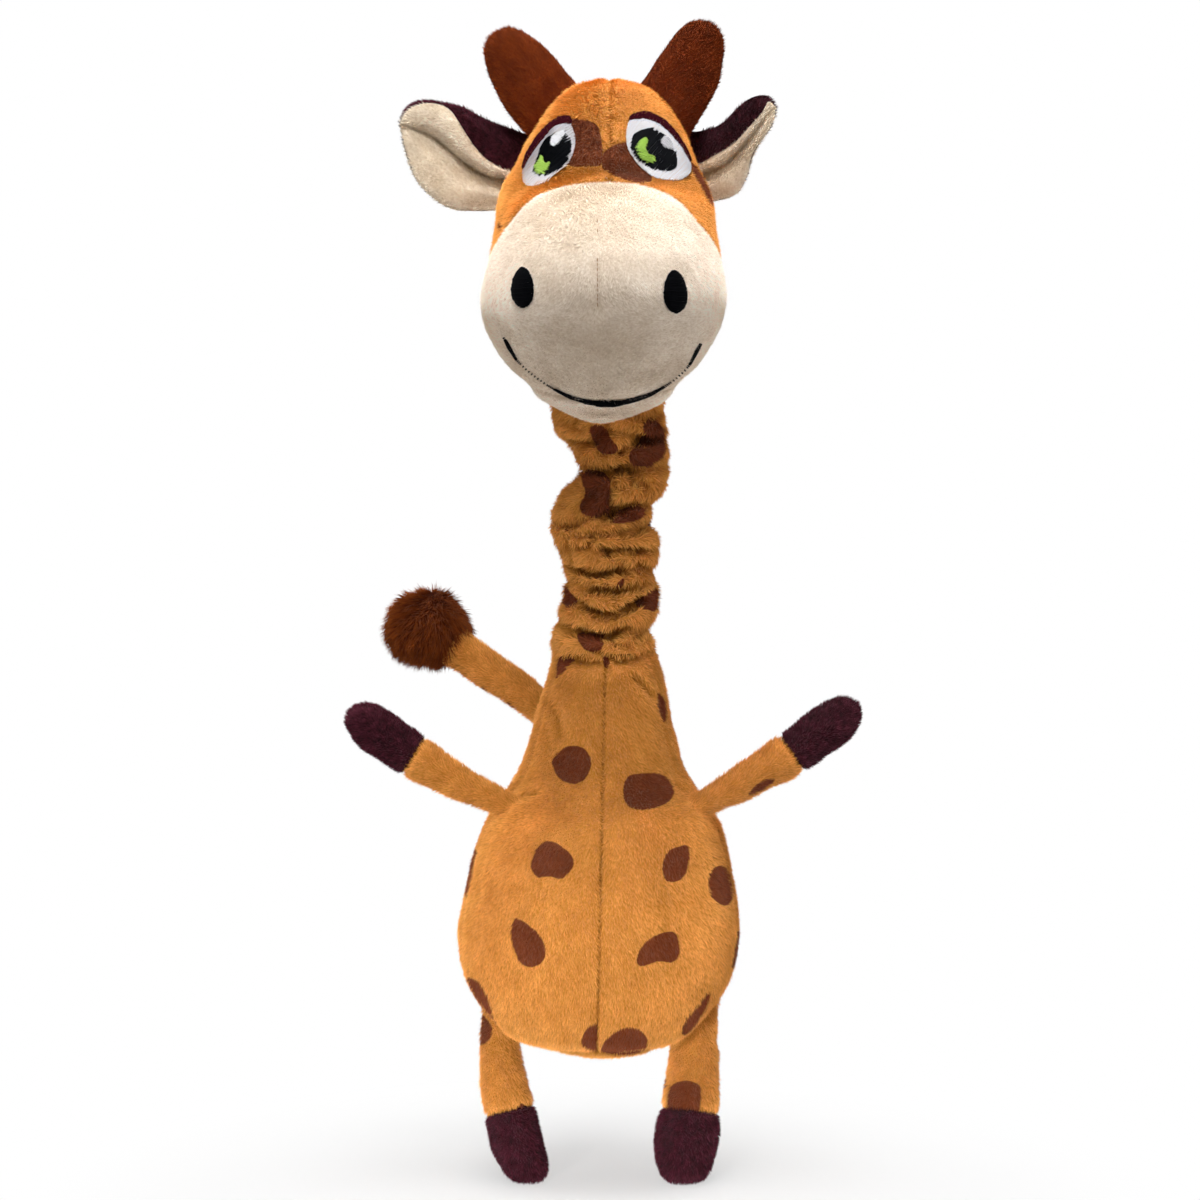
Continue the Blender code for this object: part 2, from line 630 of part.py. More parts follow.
def embroider(name, tree, place_shares, half, shares, material, lift):
    """A raised satin-stitch patch that follows the head."""
    place = Vector(head_place(place_shares))
    outline = [place + point for point in outline_of(shares, *half)]
    middle = middle_of(outline)
    rings = []
    for size in PATCH_RING_SHARES:
        ring = [middle + (point - middle) * size for point in outline]
        rings.append([on_head(tree, point.x, point.y, lift + THREAD) for point in ring])
    shape = loft(rings, close_end=True)
    peak = next(vert for vert in shape.verts if len(vert.link_edges) == len(outline))
    peak.co = on_head(tree, middle.x, middle.y, lift + THREAD)
    add_skin(name, shape, material, THREAD)


def make_face():
    """Eyes, nostrils and the smile, stitched over the head's skin."""
    head = head_shape()
    tree = BVHTree.FromBMesh(head)
    over = THREAD_LIFT + THREAD + SEAM_GAP
    eyes = (("left", EYE_LEFT_PLACE_SHARES, EYE_LEFT_HALF, EYE_LEFT_SHARES, IRIS_LEFT_SHARES),
            ("right", EYE_RIGHT_PLACE_SHARES, EYE_RIGHT_HALF, EYE_RIGHT_SHARES, IRIS_RIGHT_SHARES))
    for side_name, place, half, white, iris in eyes:
        embroider(f"eye_{side_name}_white", tree, place, half, white, "white_thread", THREAD_LIFT)
        embroider(f"eye_{side_name}_iris", tree, place, half, iris, "black_thread", over)
    mirrored = [(-across, up) for across, up in NOSTRIL_SHARES]
    nostrils = (("left", NOSTRIL_LEFT_PLACE_SHARES, NOSTRIL_SHARES),
                ("right", NOSTRIL_RIGHT_PLACE_SHARES, mirrored))
    for side_name, place, shares in nostrils:
        embroider(f"nostril_{side_name}", tree, place, NOSTRIL_HALF, shares, "black_thread", THREAD_LIFT)

    curve = bpy.data.curves.new("mouth_line", "CURVE")
    curve.dimensions = "3D"
    curve.bevel_depth = MOUTH_THREAD
    curve.bevel_resolution = 0
    curve.use_fill_caps = True
    stitches = []
    for start, end in zip(MOUTH_SHARES, MOUTH_SHARES[1:]):
        stitches += [start, ((start[0] + end[0]) / 2, (start[1] + end[1]) / 2)]
    stitches.append(MOUTH_SHARES[-1])
    lift = THREAD_LIFT + MOUTH_THREAD
    route = []
    for across, up in stitches:
        side, rise = head_place((MOUTH_WIDTH_SHARE * across, MOUTH_FOOT_SHARE + MOUTH_RISE_SHARE * up))
        route.append(on_head(tree, side, rise, lift))
    spline = curve.splines.new("POLY")
    spline.points.add(len(route) - 1)
    for point, place in zip(spline.points, route):
        point.co = (*place, 1)
    curve.materials.append(finish("black_thread"))
    mouth = bpy.data.objects.new("mouth_line", curve)
    TOY.objects.link(mouth)
    head.free()


# Ears and horns


def flap_frame(foot, depth, tilt, swing, side):
    """A frame at the foot of a flap's base line: X along the base, Y outwards and Z to the front."""
    base = Vector((-side * math.sin(tilt), 0, math.cos(tilt)))
    outward = Vector((side * math.cos(tilt), 0, math.sin(tilt)))
    outward = Matrix.Rotation(-side * swing, 3, base) @ outward
    front = base.cross(outward)
    if front.y > 0:
        front = -front
    side_of_foot, rise = head_place(foot)
    origin = axis_point(side_of_foot, depth, CHIN + rise)
    frame = Matrix((base, outward, front)).transposed().to_4x4()
    return Matrix.Translation(origin) @ frame


def pillow(outline, half_thick, frame, sides=(1, -1), gap=0):
    """A leaf that swells from its outline, or one half of it where only one side is given."""
    middle = middle_of(outline)

    def ring(side, rise, size):
        lift = frame.col[2].to_3d() * side * (gap + (half_thick - gap) * rise)
        return [frame @ (middle + (point - middle) * size).to_3d() + lift for point in outline]

    if len(sides) == 1:
        rings = [ring(sides[0], rise, size) for rise, size in ((0, 1), *PILLOW_SHARES)]
        if sides[0] < 0:
            rings = rings[::-1]
    else:
        rings = [ring(-1, rise, size) for rise, size in PILLOW_SHARES[::-1]]
        rings += [ring(1, rise, size) for rise, size in PILLOW_SHARES]
    shape = loft(rings, close_start=True, close_end=True)
    bmesh.ops.recalc_face_normals(shape, faces=shape.faces)
    return shape


def prism(outline, low, high, frame):
    """A straight block over an outline, between two depths of the frame."""
    rings = [
        [frame @ point.to_3d() + frame.col[2].to_3d() * depth for point in outline] for depth in (low, high)
    ]
    shape = loft(rings, close_start=True, close_end=True)
    bmesh.ops.recalc_face_normals(shape, faces=shape.faces)
    return shape


def flap_pivot(frame, base):
    """A flap bends on a line a little way out from its base."""
    return frame @ Vector((base / 2, FLAP_PIVOT, 0))


def free_foot(pieces, frame, base, sway, head_clearance):
    """Cut a flap's foot to a wedge that clears the head from one end of its motion to the other."""
    pivot = Matrix.Translation(flap_pivot(frame, base))
    heads = [head_clearance]
    for turn in (-sway, sway):
        shape = shrunk(head_shape(), -SEAM_GAP)
        shape.transform(pivot @ Matrix.Rotation(turn, 4, frame.col[0].to_3d()) @ pivot.inverted())
        heads.append(add_cutter(f"{pieces[0].name}_head_swung", shape))
    for piece in pieces:
        for head in heads:
            cut(piece, head)


def make_ear(side_name, foot, swing, side, head_clearance):
    """A leaf of two fabrics: the dark back folds over the top of the pale lining."""
    frame = flap_frame(foot, EAR_DEPTH, EAR_TILT, swing, side)
    outline = outline_of(EAR_SHARES, EAR_BASE, EAR_REACH)
    pocket = outline_of(EAR_LINING_SHARES, EAR_BASE, EAR_REACH)
    wider = [point + (point - middle_of(outline)).normalized() * SEAM_GAP for point in pocket]
    seat = EAR_THICK / 2 - EAR_LINING
    lining_block = add_cutter(f"ear_{side_name}_lining_block", prism(pocket, seat, EAR_THICK, frame))
    back_block = add_cutter(f"ear_{side_name}_back_block", prism(wider, seat - SEAM_GAP, EAR_THICK, frame))
    lining = add_object(f"ear_{side_name}_lining", pillow(outline, EAR_THICK / 2, frame), "cream_plush", TOY)
    cut(lining, lining_block, "INTERSECT")
    back = add_object(f"ear_{side_name}_back", pillow(outline, EAR_THICK / 2, frame), "plum_plush", TOY)
    cut(back, back_block)
    free_foot((lining, back), frame, EAR_BASE, EAR_SWAY, head_clearance)
    return frame


def make_horn(side_name, foot, tilt, side, head_clearance):
    """A flat paddle of two suede panels."""
    frame = flap_frame(foot, HORN_DEPTH, tilt, 0, side)
    outline = outline_of(HORN_SHARES, HORN_BASE, HORN_REACH)
    panels = []
    for face, direction in (("front", 1), ("back", -1)):
        half = pillow(outline, HORN_THICK / 2, frame, sides=(direction,), gap=SEAM_GAP / 2)
        panels.append(add_object(f"horn_{side_name}_{face}", half, "horn_suede", TOY))
    free_foot(panels, frame, HORN_BASE, HORN_SWAY, head_clearance)
    return frame


# Arms, legs and tail


def curve_point(root, knee, tip, share):
    """A point of the smooth curve that leaves a root towards a knee and ends at a tip."""
    return root * (1 - share) ** 2 + knee * 2 * share * (1 - share) + tip * share ** 2


def curve_heading(root, knee, tip, share):
    return ((knee - root) * (1 - share) + (tip - knee) * share).normalized()


def limb_ring(route, share, radius):
    """A round ring square to the limb's curve."""
    place = curve_point(*route, share)
    heading = curve_heading(*route, share)
    across = Vector((0, 1, 0)).cross(heading).normalized() * radius
    upward = heading.cross(across)
    turns = [math.tau * step / LIMB_SIDES for step in range(LIMB_SIDES)]
    return [place + across * math.cos(turn) + upward * math.sin(turn) for turn in turns]


def limb_shape(route, table, size, start, end, closed_end=False, closed_start=False):
    """The limb's surface from one share of its length to another, through the table's own rows between."""
    shares = [start, *(row[0] for row in table if start < row[0] < end), end]
    rings = [limb_ring(route, share, size * between(table, share)) for share in shares]
    return loft(rings, close_start=closed_start, close_end=closed_end)


def make_limb(name, route, table, size, hoof_share, body_clearance, floor):
    """A gathered root, a stuffed sleeve and a hoof cap."""
    length = (route[2] - route[0]).length
    gap = SEAM_GAP / length
    cuff = CUFF_LENGTH / length
    start = table[0][0]
    end = table[-1][0]
    root = add_skin(f"{name}_cuff", limb_shape(route, table, size, start, cuff), "orange_plush")
    cut(root, body_clearance)
    add_skin(f"{name}_sleeve", limb_shape(route, table, size, cuff + gap, hoof_share), "orange_plush")
    hoof = add_skin(
        f"{name}_hoof", limb_shape(route, table, size, hoof_share + gap, end, closed_end=True), "plum_plush"
    )
    filling = filling_of(limb_shape(route, table, size, cuff + gap, end, closed_end=True), SKIN + SEAM_GAP)
    add_object(f"{name}_filling", filling, "fibre_filling", TOY)
    if floor:
        cut(hoof, floor, "INTERSECT")


def arm_route(side, length, rise):
    root = body_point(ARM_HEIGHT, -ARM_FORWARD if side > 0 else math.pi + ARM_FORWARD)
    low = rise - ARM_CURL
    knee = root + Vector((side * math.cos(low), 0, math.sin(low))) * length / 2
    tip = root + Vector((side * math.cos(rise), 0, math.sin(rise))) * length
    return root, knee, tip


def leg_route(side, knee_in, foot_in):
    root = body_point(LEG_HEIGHT, LEG_BACK if side > 0 else math.pi - LEG_BACK)
    knee = Vector((root.x - side * knee_in, root.y - LEG_KNEE_FORWARD, root.z * LEG_KNEE_SHARE))
    foot = Vector((root.x - side * foot_in, root.y - LEG_FOOT_FORWARD, -SOLE_CUT))
    return root, knee, foot


def tail_route():
    root = body_point(TAIL_HEIGHT, math.pi / 2)
    end = axis_point(root.x + TAIL_END_SIDE, TAIL_REACH - TUFT_HALF[1], root.z + TAIL_END_RISE)
    return root, root + Vector(TAIL_TURN), end


def make_tail(body_clearance):
    """A stuffed cord of plush with a ball of long fur on its end."""
    route = tail_route()
    length = (route[2] - route[0]).length
    gap = SEAM_GAP / length
    cuff = CUFF_LENGTH / length
    socket = 1 - (TUFT_HALF[0] - TUFT_SOCKET) / length
    start = TAIL_SHARES[0][0]
    root = add_skin("tail_cuff", limb_shape(route, TAIL_SHARES, TAIL_RADIUS, start, cuff), "orange_plush")
    cut(root, body_clearance)
    add_skin("tail_sleeve", limb_shape(route, TAIL_SHARES, TAIL_RADIUS, cuff + gap, socket), "orange_plush")
    filling = filling_of(limb_shape(route, TAIL_SHARES, TAIL_RADIUS, cuff + gap, socket), SKIN + SEAM_GAP)
    add_object("tail_filling", filling, "fibre_filling", TOY)
    plug = limb_shape(
        route, TAIL_SHARES, TAIL_RADIUS + SEAM_GAP, cuff, socket + gap, closed_end=True, closed_start=True
    )
    ball_shape = bmesh.new()
    bmesh.ops.create_uvsphere(ball_shape, u_segments=TUFT_SIDES, v_segments=TUFT_SIDES // 2, radius=1)
    ball_shape.transform(Matrix.Translation(route[2]) @ Matrix.Diagonal((*TUFT_HALF, 1)))
    tuft = add_object("tail_tuft", ball_shape, "tuft_fur", TOY)
    cut(tuft, add_cutter("tail_plug", plug))
    return route


# Joints: an empty stands on each axis and carries the pieces that turn on it


def add_axis(name, place, parent=None):
    axis = bpy.data.objects.new(name, None)
    axis.empty_display_size = ANCHOR_RADIUS
    TOY.objects.link(axis)
    axis.matrix_world = Matrix.Translation(place)
    if parent:
        axis.parent = parent
        axis.matrix_parent_inverse = parent.matrix_world.inverted()
    bpy.context.view_layer.update()
    return axis


def carry(axis, *names):
    for name in names:
        piece = bpy.data.objects[name]
        piece.parent = axis
        piece.matrix_parent_inverse = axis.matrix_world.inverted()


def neck_height(folds):
    return BODY_TOP + SEAM_GAP + folds * NECK_PITCH


def make_neck_axes():
    """The chain of axes from the body to the head."""
    counts = list(NECK_FOLDS.values())
    starts = [sum(counts[:at]) for at in range(len(counts))]
    sway = add_axis("neck_sway", axis_point(0, 0, neck_height(starts[0] + counts[0] * SWAY_SHARE)))
    bend = add_axis("neck_bend", axis_point(0, 0, neck_height(starts[1] + counts[1] * SWAY_SHARE)), sway)
    middle = neck_height(starts[2] + counts[2] * SWAY_SHARE)
    stretch = add_axis("neck_stretch", axis_point(0, 0, middle), bend)
    nod = add_axis("head_nod", axis_point(0, 0, neck_height(starts[3] + counts[3] * SWAY_SHARE)), stretch)
    turn = add_axis("head_turn", axis_point(ELASTIC_SIDE, 0, neck_height(starts[4] + TURN_SHARE)), nod)
    carry(sway, "neck_sleeve_base")
    carry(bend, "neck_sleeve_lower")
    carry(stretch, "neck_sleeve_middle", "neck_elastic")
    carry(nod, "neck_sleeve_upper")
    carry(
        turn, "neck_sleeve_top", "head_skin_left", "head_skin_right", "muzzle_panel", "chin_panel",
        "head_filling", "neck_anchor_upper", "eye_left_white", "eye_left_iris", "eye_right_white",
        "eye_right_iris", "nostril_left", "nostril_right", "mouth_line",
    )
    return turn


def flap_axis(name, frame, base, parent, *pieces):
    carry(add_axis(name, flap_pivot(frame, base), parent), *pieces)


def limb_axes(name, route, size):
    """A limb bends first at its root and then at the far end of its gathered cuff."""
    first = add_axis(f"{name}_root_axis", route[0])
    second = add_axis(f"{name}_axis", curve_point(*route, CUFF_LENGTH / size), first)
    return first, second


def make_toy():
    body_clearance = add_cutter("body_clearance", shrunk(body_shape(close_top=True), -SEAM_GAP))
    head_clearance = add_cutter("head_clearance", shrunk(head_shape(), -SEAM_GAP))
    hole_radius = NECK_RADIUS - NECK_FOLD_DEPTH - NECK_SKIN
    hole_centre = axis_point(ELASTIC_SIDE, 0, 0)
    hole = cylinder(hole_radius, CHIN - OVERRUN, CHIN + ANCHOR_RISE, hole_centre, NECK_SIDES)
    floor = half_space("above_floor", Vector((0, 0, -SEAM_GAP / 2)), Vector((0, 0, 1)))

    make_body()
    make_squeaker()
    make_neck(head_clearance)
    make_head(add_cutter("neck_hole", hole))
    make_face()
    head_axis = make_neck_axes()

    flaps = (("left", -1, EAR_LEFT_FOOT_SHARES, EAR_LEFT_SWING, HORN_LEFT_FOOT_SHARES, HORN_LEFT_TILT),
             ("right", 1, EAR_RIGHT_FOOT_SHARES, EAR_RIGHT_SWING, HORN_RIGHT_FOOT_SHARES, HORN_RIGHT_TILT))
    for name, side, ear_foot, swing, horn_foot, tilt in flaps:
        ear = make_ear(name, ear_foot, swing, side, head_clearance)
        flap_axis(f"ear_{name}_flap", ear, EAR_BASE, head_axis, f"ear_{name}_lining", f"ear_{name}_back")
        horn = make_horn(name, horn_foot, tilt, side, head_clearance)
        flap_axis(f"horn_{name}_bend", horn, HORN_BASE, head_axis, f"horn_{name}_front", f"horn_{name}_back")

    arms = (("arm_left", -1, ARM_LEFT_LENGTH, ARM_LEFT_RISE),
            ("arm_right", 1, ARM_RIGHT_LENGTH, ARM_RIGHT_RISE))
    for name, side, length, rise in arms:
        route = arm_route(side, length, rise)
        make_limb(name, route, ARM_SHARES, ARM_RADIUS, ARM_HOOF_SHARE, body_clearance, None)
        first, second = limb_axes(name, route, length)
        carry(first, f"{name}_cuff")
        carry(second, f"{name}_sleeve", f"{name}_hoof", f"{name}_filling")

    legs = (("leg_left", -1, LEG_LEFT_KNEE_IN, LEG_LEFT_FOOT_IN, LEG_LEFT_SHARE),
            ("leg_right", 1, LEG_RIGHT_KNEE_IN, LEG_RIGHT_FOOT_IN, LEG_RIGHT_SHARE))
    for name, side, knee_in, foot_in, share in legs:
        route = leg_route(side, knee_in, foot_in)
        make_limb(name, route, LEG_SHARES, LEG_RADIUS * share, LEG_HOOF_SHARE, body_clearance, floor)
        first, second = limb_axes(name, route, (route[2] - route[0]).length)
        carry(first, f"{name}_cuff")
        carry(second, f"{name}_sleeve", f"{name}_hoof", f"{name}_filling")

    route = make_tail(body_clearance)
    first, second = limb_axes("tail", route, (route[2] - route[0]).length)
    carry(first, "tail_cuff")
    carry(second, "tail_sleeve", "tail_filling", "tail_tuft")


clear_scene()
TOY = new_collection("plush_giraffe")
CUTTERS = new_collection("cutters")
make_toy()
bpy.context.view_layer.update()
for thing in TOY.objects:
    if thing.type == "EMPTY":
        print(thing.name, [round(value, 5) for value in thing.matrix_world.translation])
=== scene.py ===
# %% [markdown]
# # A plush giraffe
#
# The toy is sewn from short-pile plush and stuffed with polyester fibre. A imported model gives its bodies,
# joints and sizes, and this script dresses that model: every soft solid gets a fuller form with its seams,
# its pile and its printed spots. The imported model is loaded first.

# %% Load the imported model
import math

import bmesh
import bpy
import numpy as np
from mathutils import Matrix, Vector, noise
from mathutils.bvhtree import BVHTree


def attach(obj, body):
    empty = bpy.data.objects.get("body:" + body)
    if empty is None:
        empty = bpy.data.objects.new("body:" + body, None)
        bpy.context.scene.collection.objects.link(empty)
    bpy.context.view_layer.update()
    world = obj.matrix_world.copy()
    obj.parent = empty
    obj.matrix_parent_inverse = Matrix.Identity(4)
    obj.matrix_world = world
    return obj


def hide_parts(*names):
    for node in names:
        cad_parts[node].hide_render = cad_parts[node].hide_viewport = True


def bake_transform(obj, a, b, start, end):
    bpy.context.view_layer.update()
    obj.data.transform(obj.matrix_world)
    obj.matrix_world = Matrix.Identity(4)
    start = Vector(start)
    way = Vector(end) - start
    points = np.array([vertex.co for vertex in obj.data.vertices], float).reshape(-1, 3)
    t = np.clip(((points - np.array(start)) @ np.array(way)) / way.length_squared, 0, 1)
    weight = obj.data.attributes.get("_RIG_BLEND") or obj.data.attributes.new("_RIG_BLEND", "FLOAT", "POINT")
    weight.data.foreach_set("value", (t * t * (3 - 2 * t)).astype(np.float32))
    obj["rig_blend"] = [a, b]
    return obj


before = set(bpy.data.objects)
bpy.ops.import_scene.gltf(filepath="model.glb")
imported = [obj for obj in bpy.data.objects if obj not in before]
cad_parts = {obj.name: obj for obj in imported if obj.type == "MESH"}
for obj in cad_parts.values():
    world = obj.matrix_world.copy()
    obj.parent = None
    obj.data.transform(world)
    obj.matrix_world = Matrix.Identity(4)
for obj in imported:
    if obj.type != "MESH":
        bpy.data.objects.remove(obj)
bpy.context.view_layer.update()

# %% [markdown]
# ## The view
#
# The photograph looks straight at the toy's chest. Its scale was measured first: one pixel covers 0.345 mm at
# the depth of the neck, and the picture is 1200 pixels wide. A camera 0.85 m in front of that depth with the
# lens worked out below frames the same square. With the camera known, each place traced on the photograph is
# a straight line into the scene, and `sight` gives that line.

# %% Camera
AXIS_Y = 0.01525
PIXEL = 0.000345
PICTURE = 1200
VIEW_DISTANCE = 0.85
VIEW_PLACE = Vector((-PIXEL, AXIS_Y - VIEW_DISTANCE, 0.2008))
SENSOR_MM = 36
# The body's foot and height, which the cloth helpers and the neck use too
BASE_HEIGHT = 0.0435
BODY_HEIGHT = 0.1390
BODY_TOP = BASE_HEIGHT + BODY_HEIGHT

lens = bpy.data.cameras.new("photograph_view")
lens.sensor_width = SENSOR_MM
lens.lens = SENSOR_MM * VIEW_DISTANCE / (PICTURE * PIXEL)
camera = bpy.data.objects.new("photograph_view", lens)
camera.location = VIEW_PLACE
camera.rotation_euler = (math.radians(90), 0, 0)
bpy.context.scene.collection.objects.link(camera)
bpy.context.scene.camera = camera


def sight(across, down):
    """The direction from the camera through a pixel of the photograph."""
    side = (across - PICTURE / 2) * PIXEL
    rise = (PICTURE / 2 - down) * PIXEL
    return Vector((side, VIEW_DISTANCE, rise)).normalized()


def seen_on_plane(across, down, point, normal):
    """Where the line through a pixel meets a plane."""
    direction = sight(across, down)
    return VIEW_PLACE + direction * ((point - VIEW_PLACE).dot(normal) / direction.dot(normal))


print("lens, mm:", round(lens.lens, 2))

# %% [markdown]
# ## Finishes
#
# Plush, suede-like velour, fur and thread are all fibres: matt, with a soft sheen at the edges. A colour on a
# real pile is never even, because shade falls between the fibres and patches of pile lean different ways. The
# materials paint that shade: each fibre is darker at its root and has a painted highlight at its tip. They read
# attributes that the pieces carry: `rest` is the place of a point before any bending, `tip` is 0 at the root of a
# fibre and 1 at its end, and `print` is the distance in millimetres inside the edge of a printed spot. `fold`,
# how deep a point lies in a fold, gives painted shade in folds and along seams and a painted highlight on ridges.

# %% Helpers for materials
def colour(text):
    """A linear colour from sRGB hex digits."""
    parts = [int(text[at:at + 2], 16) / 255 for at in (0, 2, 4)]
    return (*(part / 12.92 if part <= 0.04045 else ((part + 0.055) / 1.055) ** 2.4 for part in parts), 1)


def node(tree, kind, inputs=None, **settings):
    """Adds a node, sets its options, and fills its sockets with values or with other nodes' outputs."""
    made = tree.nodes.new(kind)
    for name, value in settings.items():
        setattr(made, name, value)
    for name, value in (inputs or {}).items():
        if isinstance(value, bpy.types.NodeSocket):
            tree.links.new(value, made.inputs[name])
        else:
            made.inputs[name].default_value = value
    return made


def new_finish(name, settings):
    """A material whose shader has its plain values and waits for its links."""
    material = bpy.data.materials.new(name)
    material.use_nodes = True
    tree = material.node_tree
    tree.nodes.clear()
    shader = node(tree, "ShaderNodeBsdfPrincipled", settings)
    node(tree, "ShaderNodeOutputMaterial", {"Surface": shader.outputs["BSDF"]})
    return material, tree, shader


# %% [markdown]
# Printed plush is one cloth in two colours of dye, so the spots keep the pile of the ground round them. The spots
# could be pieces of their own or a painted picture. Here the shader mixes two colours by the distance from a
# spot's edge, which stays crisp however close one looks.

# %% Plush
def plush(name, cloth, root_shade, patch_level, sheen, printed=None, fibre=0.0009, patch=0.004,
          warmth=(1.0, 0.80, 0.45), bloom=0.6):
    """Short-pile polyester plush: matt fibres with painted shade between their roots, and a pale bloom at grazing
    angles.

    The levels say how dark the painted shade makes the fibres' roots and how much patches of nap differ, fibre and
    patch are the sizes of the grain and of those patches in metres, warmth tints the painted shade, as light from
    between the fibres comes back warmer, and bloom is how white the sheen is.
    """
    base = colour(cloth)
    material, tree, shader = new_finish(name, {
        "Roughness": 0.9, "Specular IOR Level": 0.15, "Sheen Weight": sheen, "Sheen Roughness": 0.45,
        "Sheen Tint": [bloom + (1 - bloom) * part for part in base],
    })
    rest = node(tree, "ShaderNodeAttribute", attribute_name="rest").outputs["Vector"]
    tip = node(tree, "ShaderNodeAttribute", attribute_name="tip").outputs["Fac"]
    fine = node(tree, "ShaderNodeTexNoise", {"Vector": rest, "Scale": 1 / fibre, "Detail": 2.0})
    wide = node(tree, "ShaderNodeTexNoise", {"Vector": rest, "Scale": 1 / patch, "Detail": 2.0})
    if printed:
        inside = node(tree, "ShaderNodeAttribute", attribute_name="print").outputs["Fac"]
        # The edge of a spot wanders by an eighth of a millimetre and is a third of one wide
        wobble = node(tree, "ShaderNodeMapRange", {
            "Value": fine.outputs["Fac"], "From Min": 0.3, "From Max": 0.7, "To Min": -0.12, "To Max": 0.12,
        })
        edge = node(tree, "ShaderNodeMath", {0: inside, 1: wobble.outputs["Result"]}, operation="ADD")
        mask = node(tree, "ShaderNodeMapRange", {
            "Value": edge.outputs[0], "From Min": -0.18, "From Max": 0.18,
        }, interpolation_type="SMOOTHSTEP")
        # The colour sockets of this node are the seventh and the eighth
        blend = node(tree, "ShaderNodeMix", {0: mask.outputs["Result"], 6: base, 7: colour(printed)}, data_type="RGBA")
        base = blend.outputs[2]
    # Painted shade darkens each fibre towards its root, and a painted highlight lifts its tip above the cloth's colour
    depth = node(tree, "ShaderNodeMapRange", {"Value": tip, "To Min": root_shade, "To Max": 1.12})
    # Painted shade in folds and along seams, and a painted highlight on ridges, by how deep the cloth lies in a fold
    fold = node(tree, "ShaderNodeAttribute", attribute_name="fold").outputs["Fac"]
    fold = node(tree, "ShaderNodeMapRange", {"Value": fold, "From Min": -0.6, "To Min": 1.20, "To Max": 0.42})
    lay = node(tree, "ShaderNodeMapRange", {
        "Value": wide.outputs["Fac"], "From Min": 0.3, "From Max": 0.7,
        "To Min": 1 - patch_level, "To Max": 1 + patch_level,
    })
    grain = node(tree, "ShaderNodeMapRange", {
        "Value": fine.outputs["Fac"], "From Min": 0.25, "From Max": 0.75, "To Min": 0.86, "To Max": 1.14,
    })
    level = depth.outputs["Result"]
    for factor in (lay, fold, grain):
        product = node(tree, "ShaderNodeMath", {0: level, 1: factor.outputs["Result"]}, operation="MULTIPLY")
        level = product.outputs[0]
    shade = node(tree, "ShaderNodeHueSaturation", {"Value": level, "Color": base})
    # Light that has passed between the fibres comes back warmer
    deep = node(tree, "ShaderNodeMapRange", {"Value": level, "From Min": 1.0, "From Max": 0.4})
    warm = node(tree, "ShaderNodeMix", {0: deep.outputs["Result"], 6: shade.outputs["Color"], 7: (*warmth, 1.0)},
                data_type="RGBA", blend_type="MULTIPLY")
    tree.links.new(warm.outputs[2], shader.inputs["Base Color"])
    return material


# Dyed plush with the spots printed on it, which keep the pile's grain
orange_plush = plush("orange_plush_printed", "F9B660", 0.62, 0.07, 0.18, printed="8C4A2E", patch=0.0045,
                     warmth=(1.0, 0.80, 0.36))
# Velboa is sheared shorter, so it is smoother and paler; the ears' plush is its thicker kin
cream_plush = plush("cream_velboa", "FFF5E8", 0.82, 0.05, 0.10, warmth=(1.0, 0.82, 0.58))
ear_plush = plush("cream_ear_plush", "FFF4E2", 1.0, 0.04, 0.18, warmth=(1.0, 0.84, 0.58))
# The dark cloth of the hooves shows strong clumps of nap
plum_plush = plush("plum_plush", "5C2836", 0.34, 0.45, 0.25, fibre=0.0010, patch=0.0020, warmth=(1.0, 0.7, 0.8),
                   bloom=0.2)
horn_velour = plush("brown_velour", "8E4012", 0.60, 0.20, 0.16, fibre=0.0011, patch=0.006, bloom=0.3)
tuft_fur = plush("brown_long_fur", "8C4614", 0.35, 0.22, 0.15, patch=0.007, bloom=0.2)
print("plush finishes:", len(bpy.data.materials))

# %% [markdown]
# Embroidery thread is bundled polyester filament, and the filling is the same polyester carded into tufts. A
# thread is too thin to show a pattern of its own, so it has one plain colour, and its form gives it its look. The
# filling needs only clumps, which one noise gives to its colour and its surface.

# %% Thread and filling
def thread(name, shade, level, shine):
    """Polyester embroidery thread: smooth filaments, so it shines more than the pile round it.

    The level is the share of its colour that is left by the shadows between the filaments.
    """
    tone = [part * level for part in colour(shade)[:3]]
    return new_finish(name, {"Base Color": (*tone, 1), "Roughness": 0.5, "Specular IOR Level": shine})[0]


white_thread = thread("white_polyester_thread", "E6E5EA", 0.78, 0.12)
black_thread = thread("black_polyester_thread", "0C0E14", 0.40, 0.03)
green_thread = thread("green_polyester_thread", "A4CC54", 0.80, 0.22)
lid_thread = thread("plum_polyester_thread", "3E141C", 0.80, 0.0)
seam_thread = thread("brown_seam_thread", "C08C5C", 0.72, 0.05)


def clumped(name, shade, roughness=1.0):
    """Polyester fibre or a braid of it: white, matt and clumped in small tufts. Moulded plastic is smoother."""
    material, tree, shader = new_finish(name, {"Roughness": roughness, "Sheen Weight": 0.3})
    place = node(tree, "ShaderNodeTexCoord").outputs["Object"]
    clump = node(tree, "ShaderNodeTexNoise", {"Vector": place, "Scale": 1 / 0.004, "Detail": 4.0})
    level = node(tree, "ShaderNodeMapRange", {"Value": clump.outputs["Fac"], "To Min": 0.75, "To Max": 1.05})
    tone = node(tree, "ShaderNodeHueSaturation", {"Value": level.outputs["Result"], "Color": colour(shade)})
    bump = node(tree, "ShaderNodeBump", {"Height": clump.outputs["Fac"], "Distance": 0.001, "Strength": 0.8})
    tree.links.new(tone.outputs["Color"], shader.inputs["Base Color"])
    tree.links.new(bump.outputs["Normal"], shader.inputs["Normal"])
    return material


fibre_filling = clumped("polyester_fibre_filling", "F2F2EE")
elastic_cord = clumped("braided_elastic", "D8D8D0")
squeaker_plastic = clumped("moulded_polyethylene", "E8E8E4", roughness=0.35)

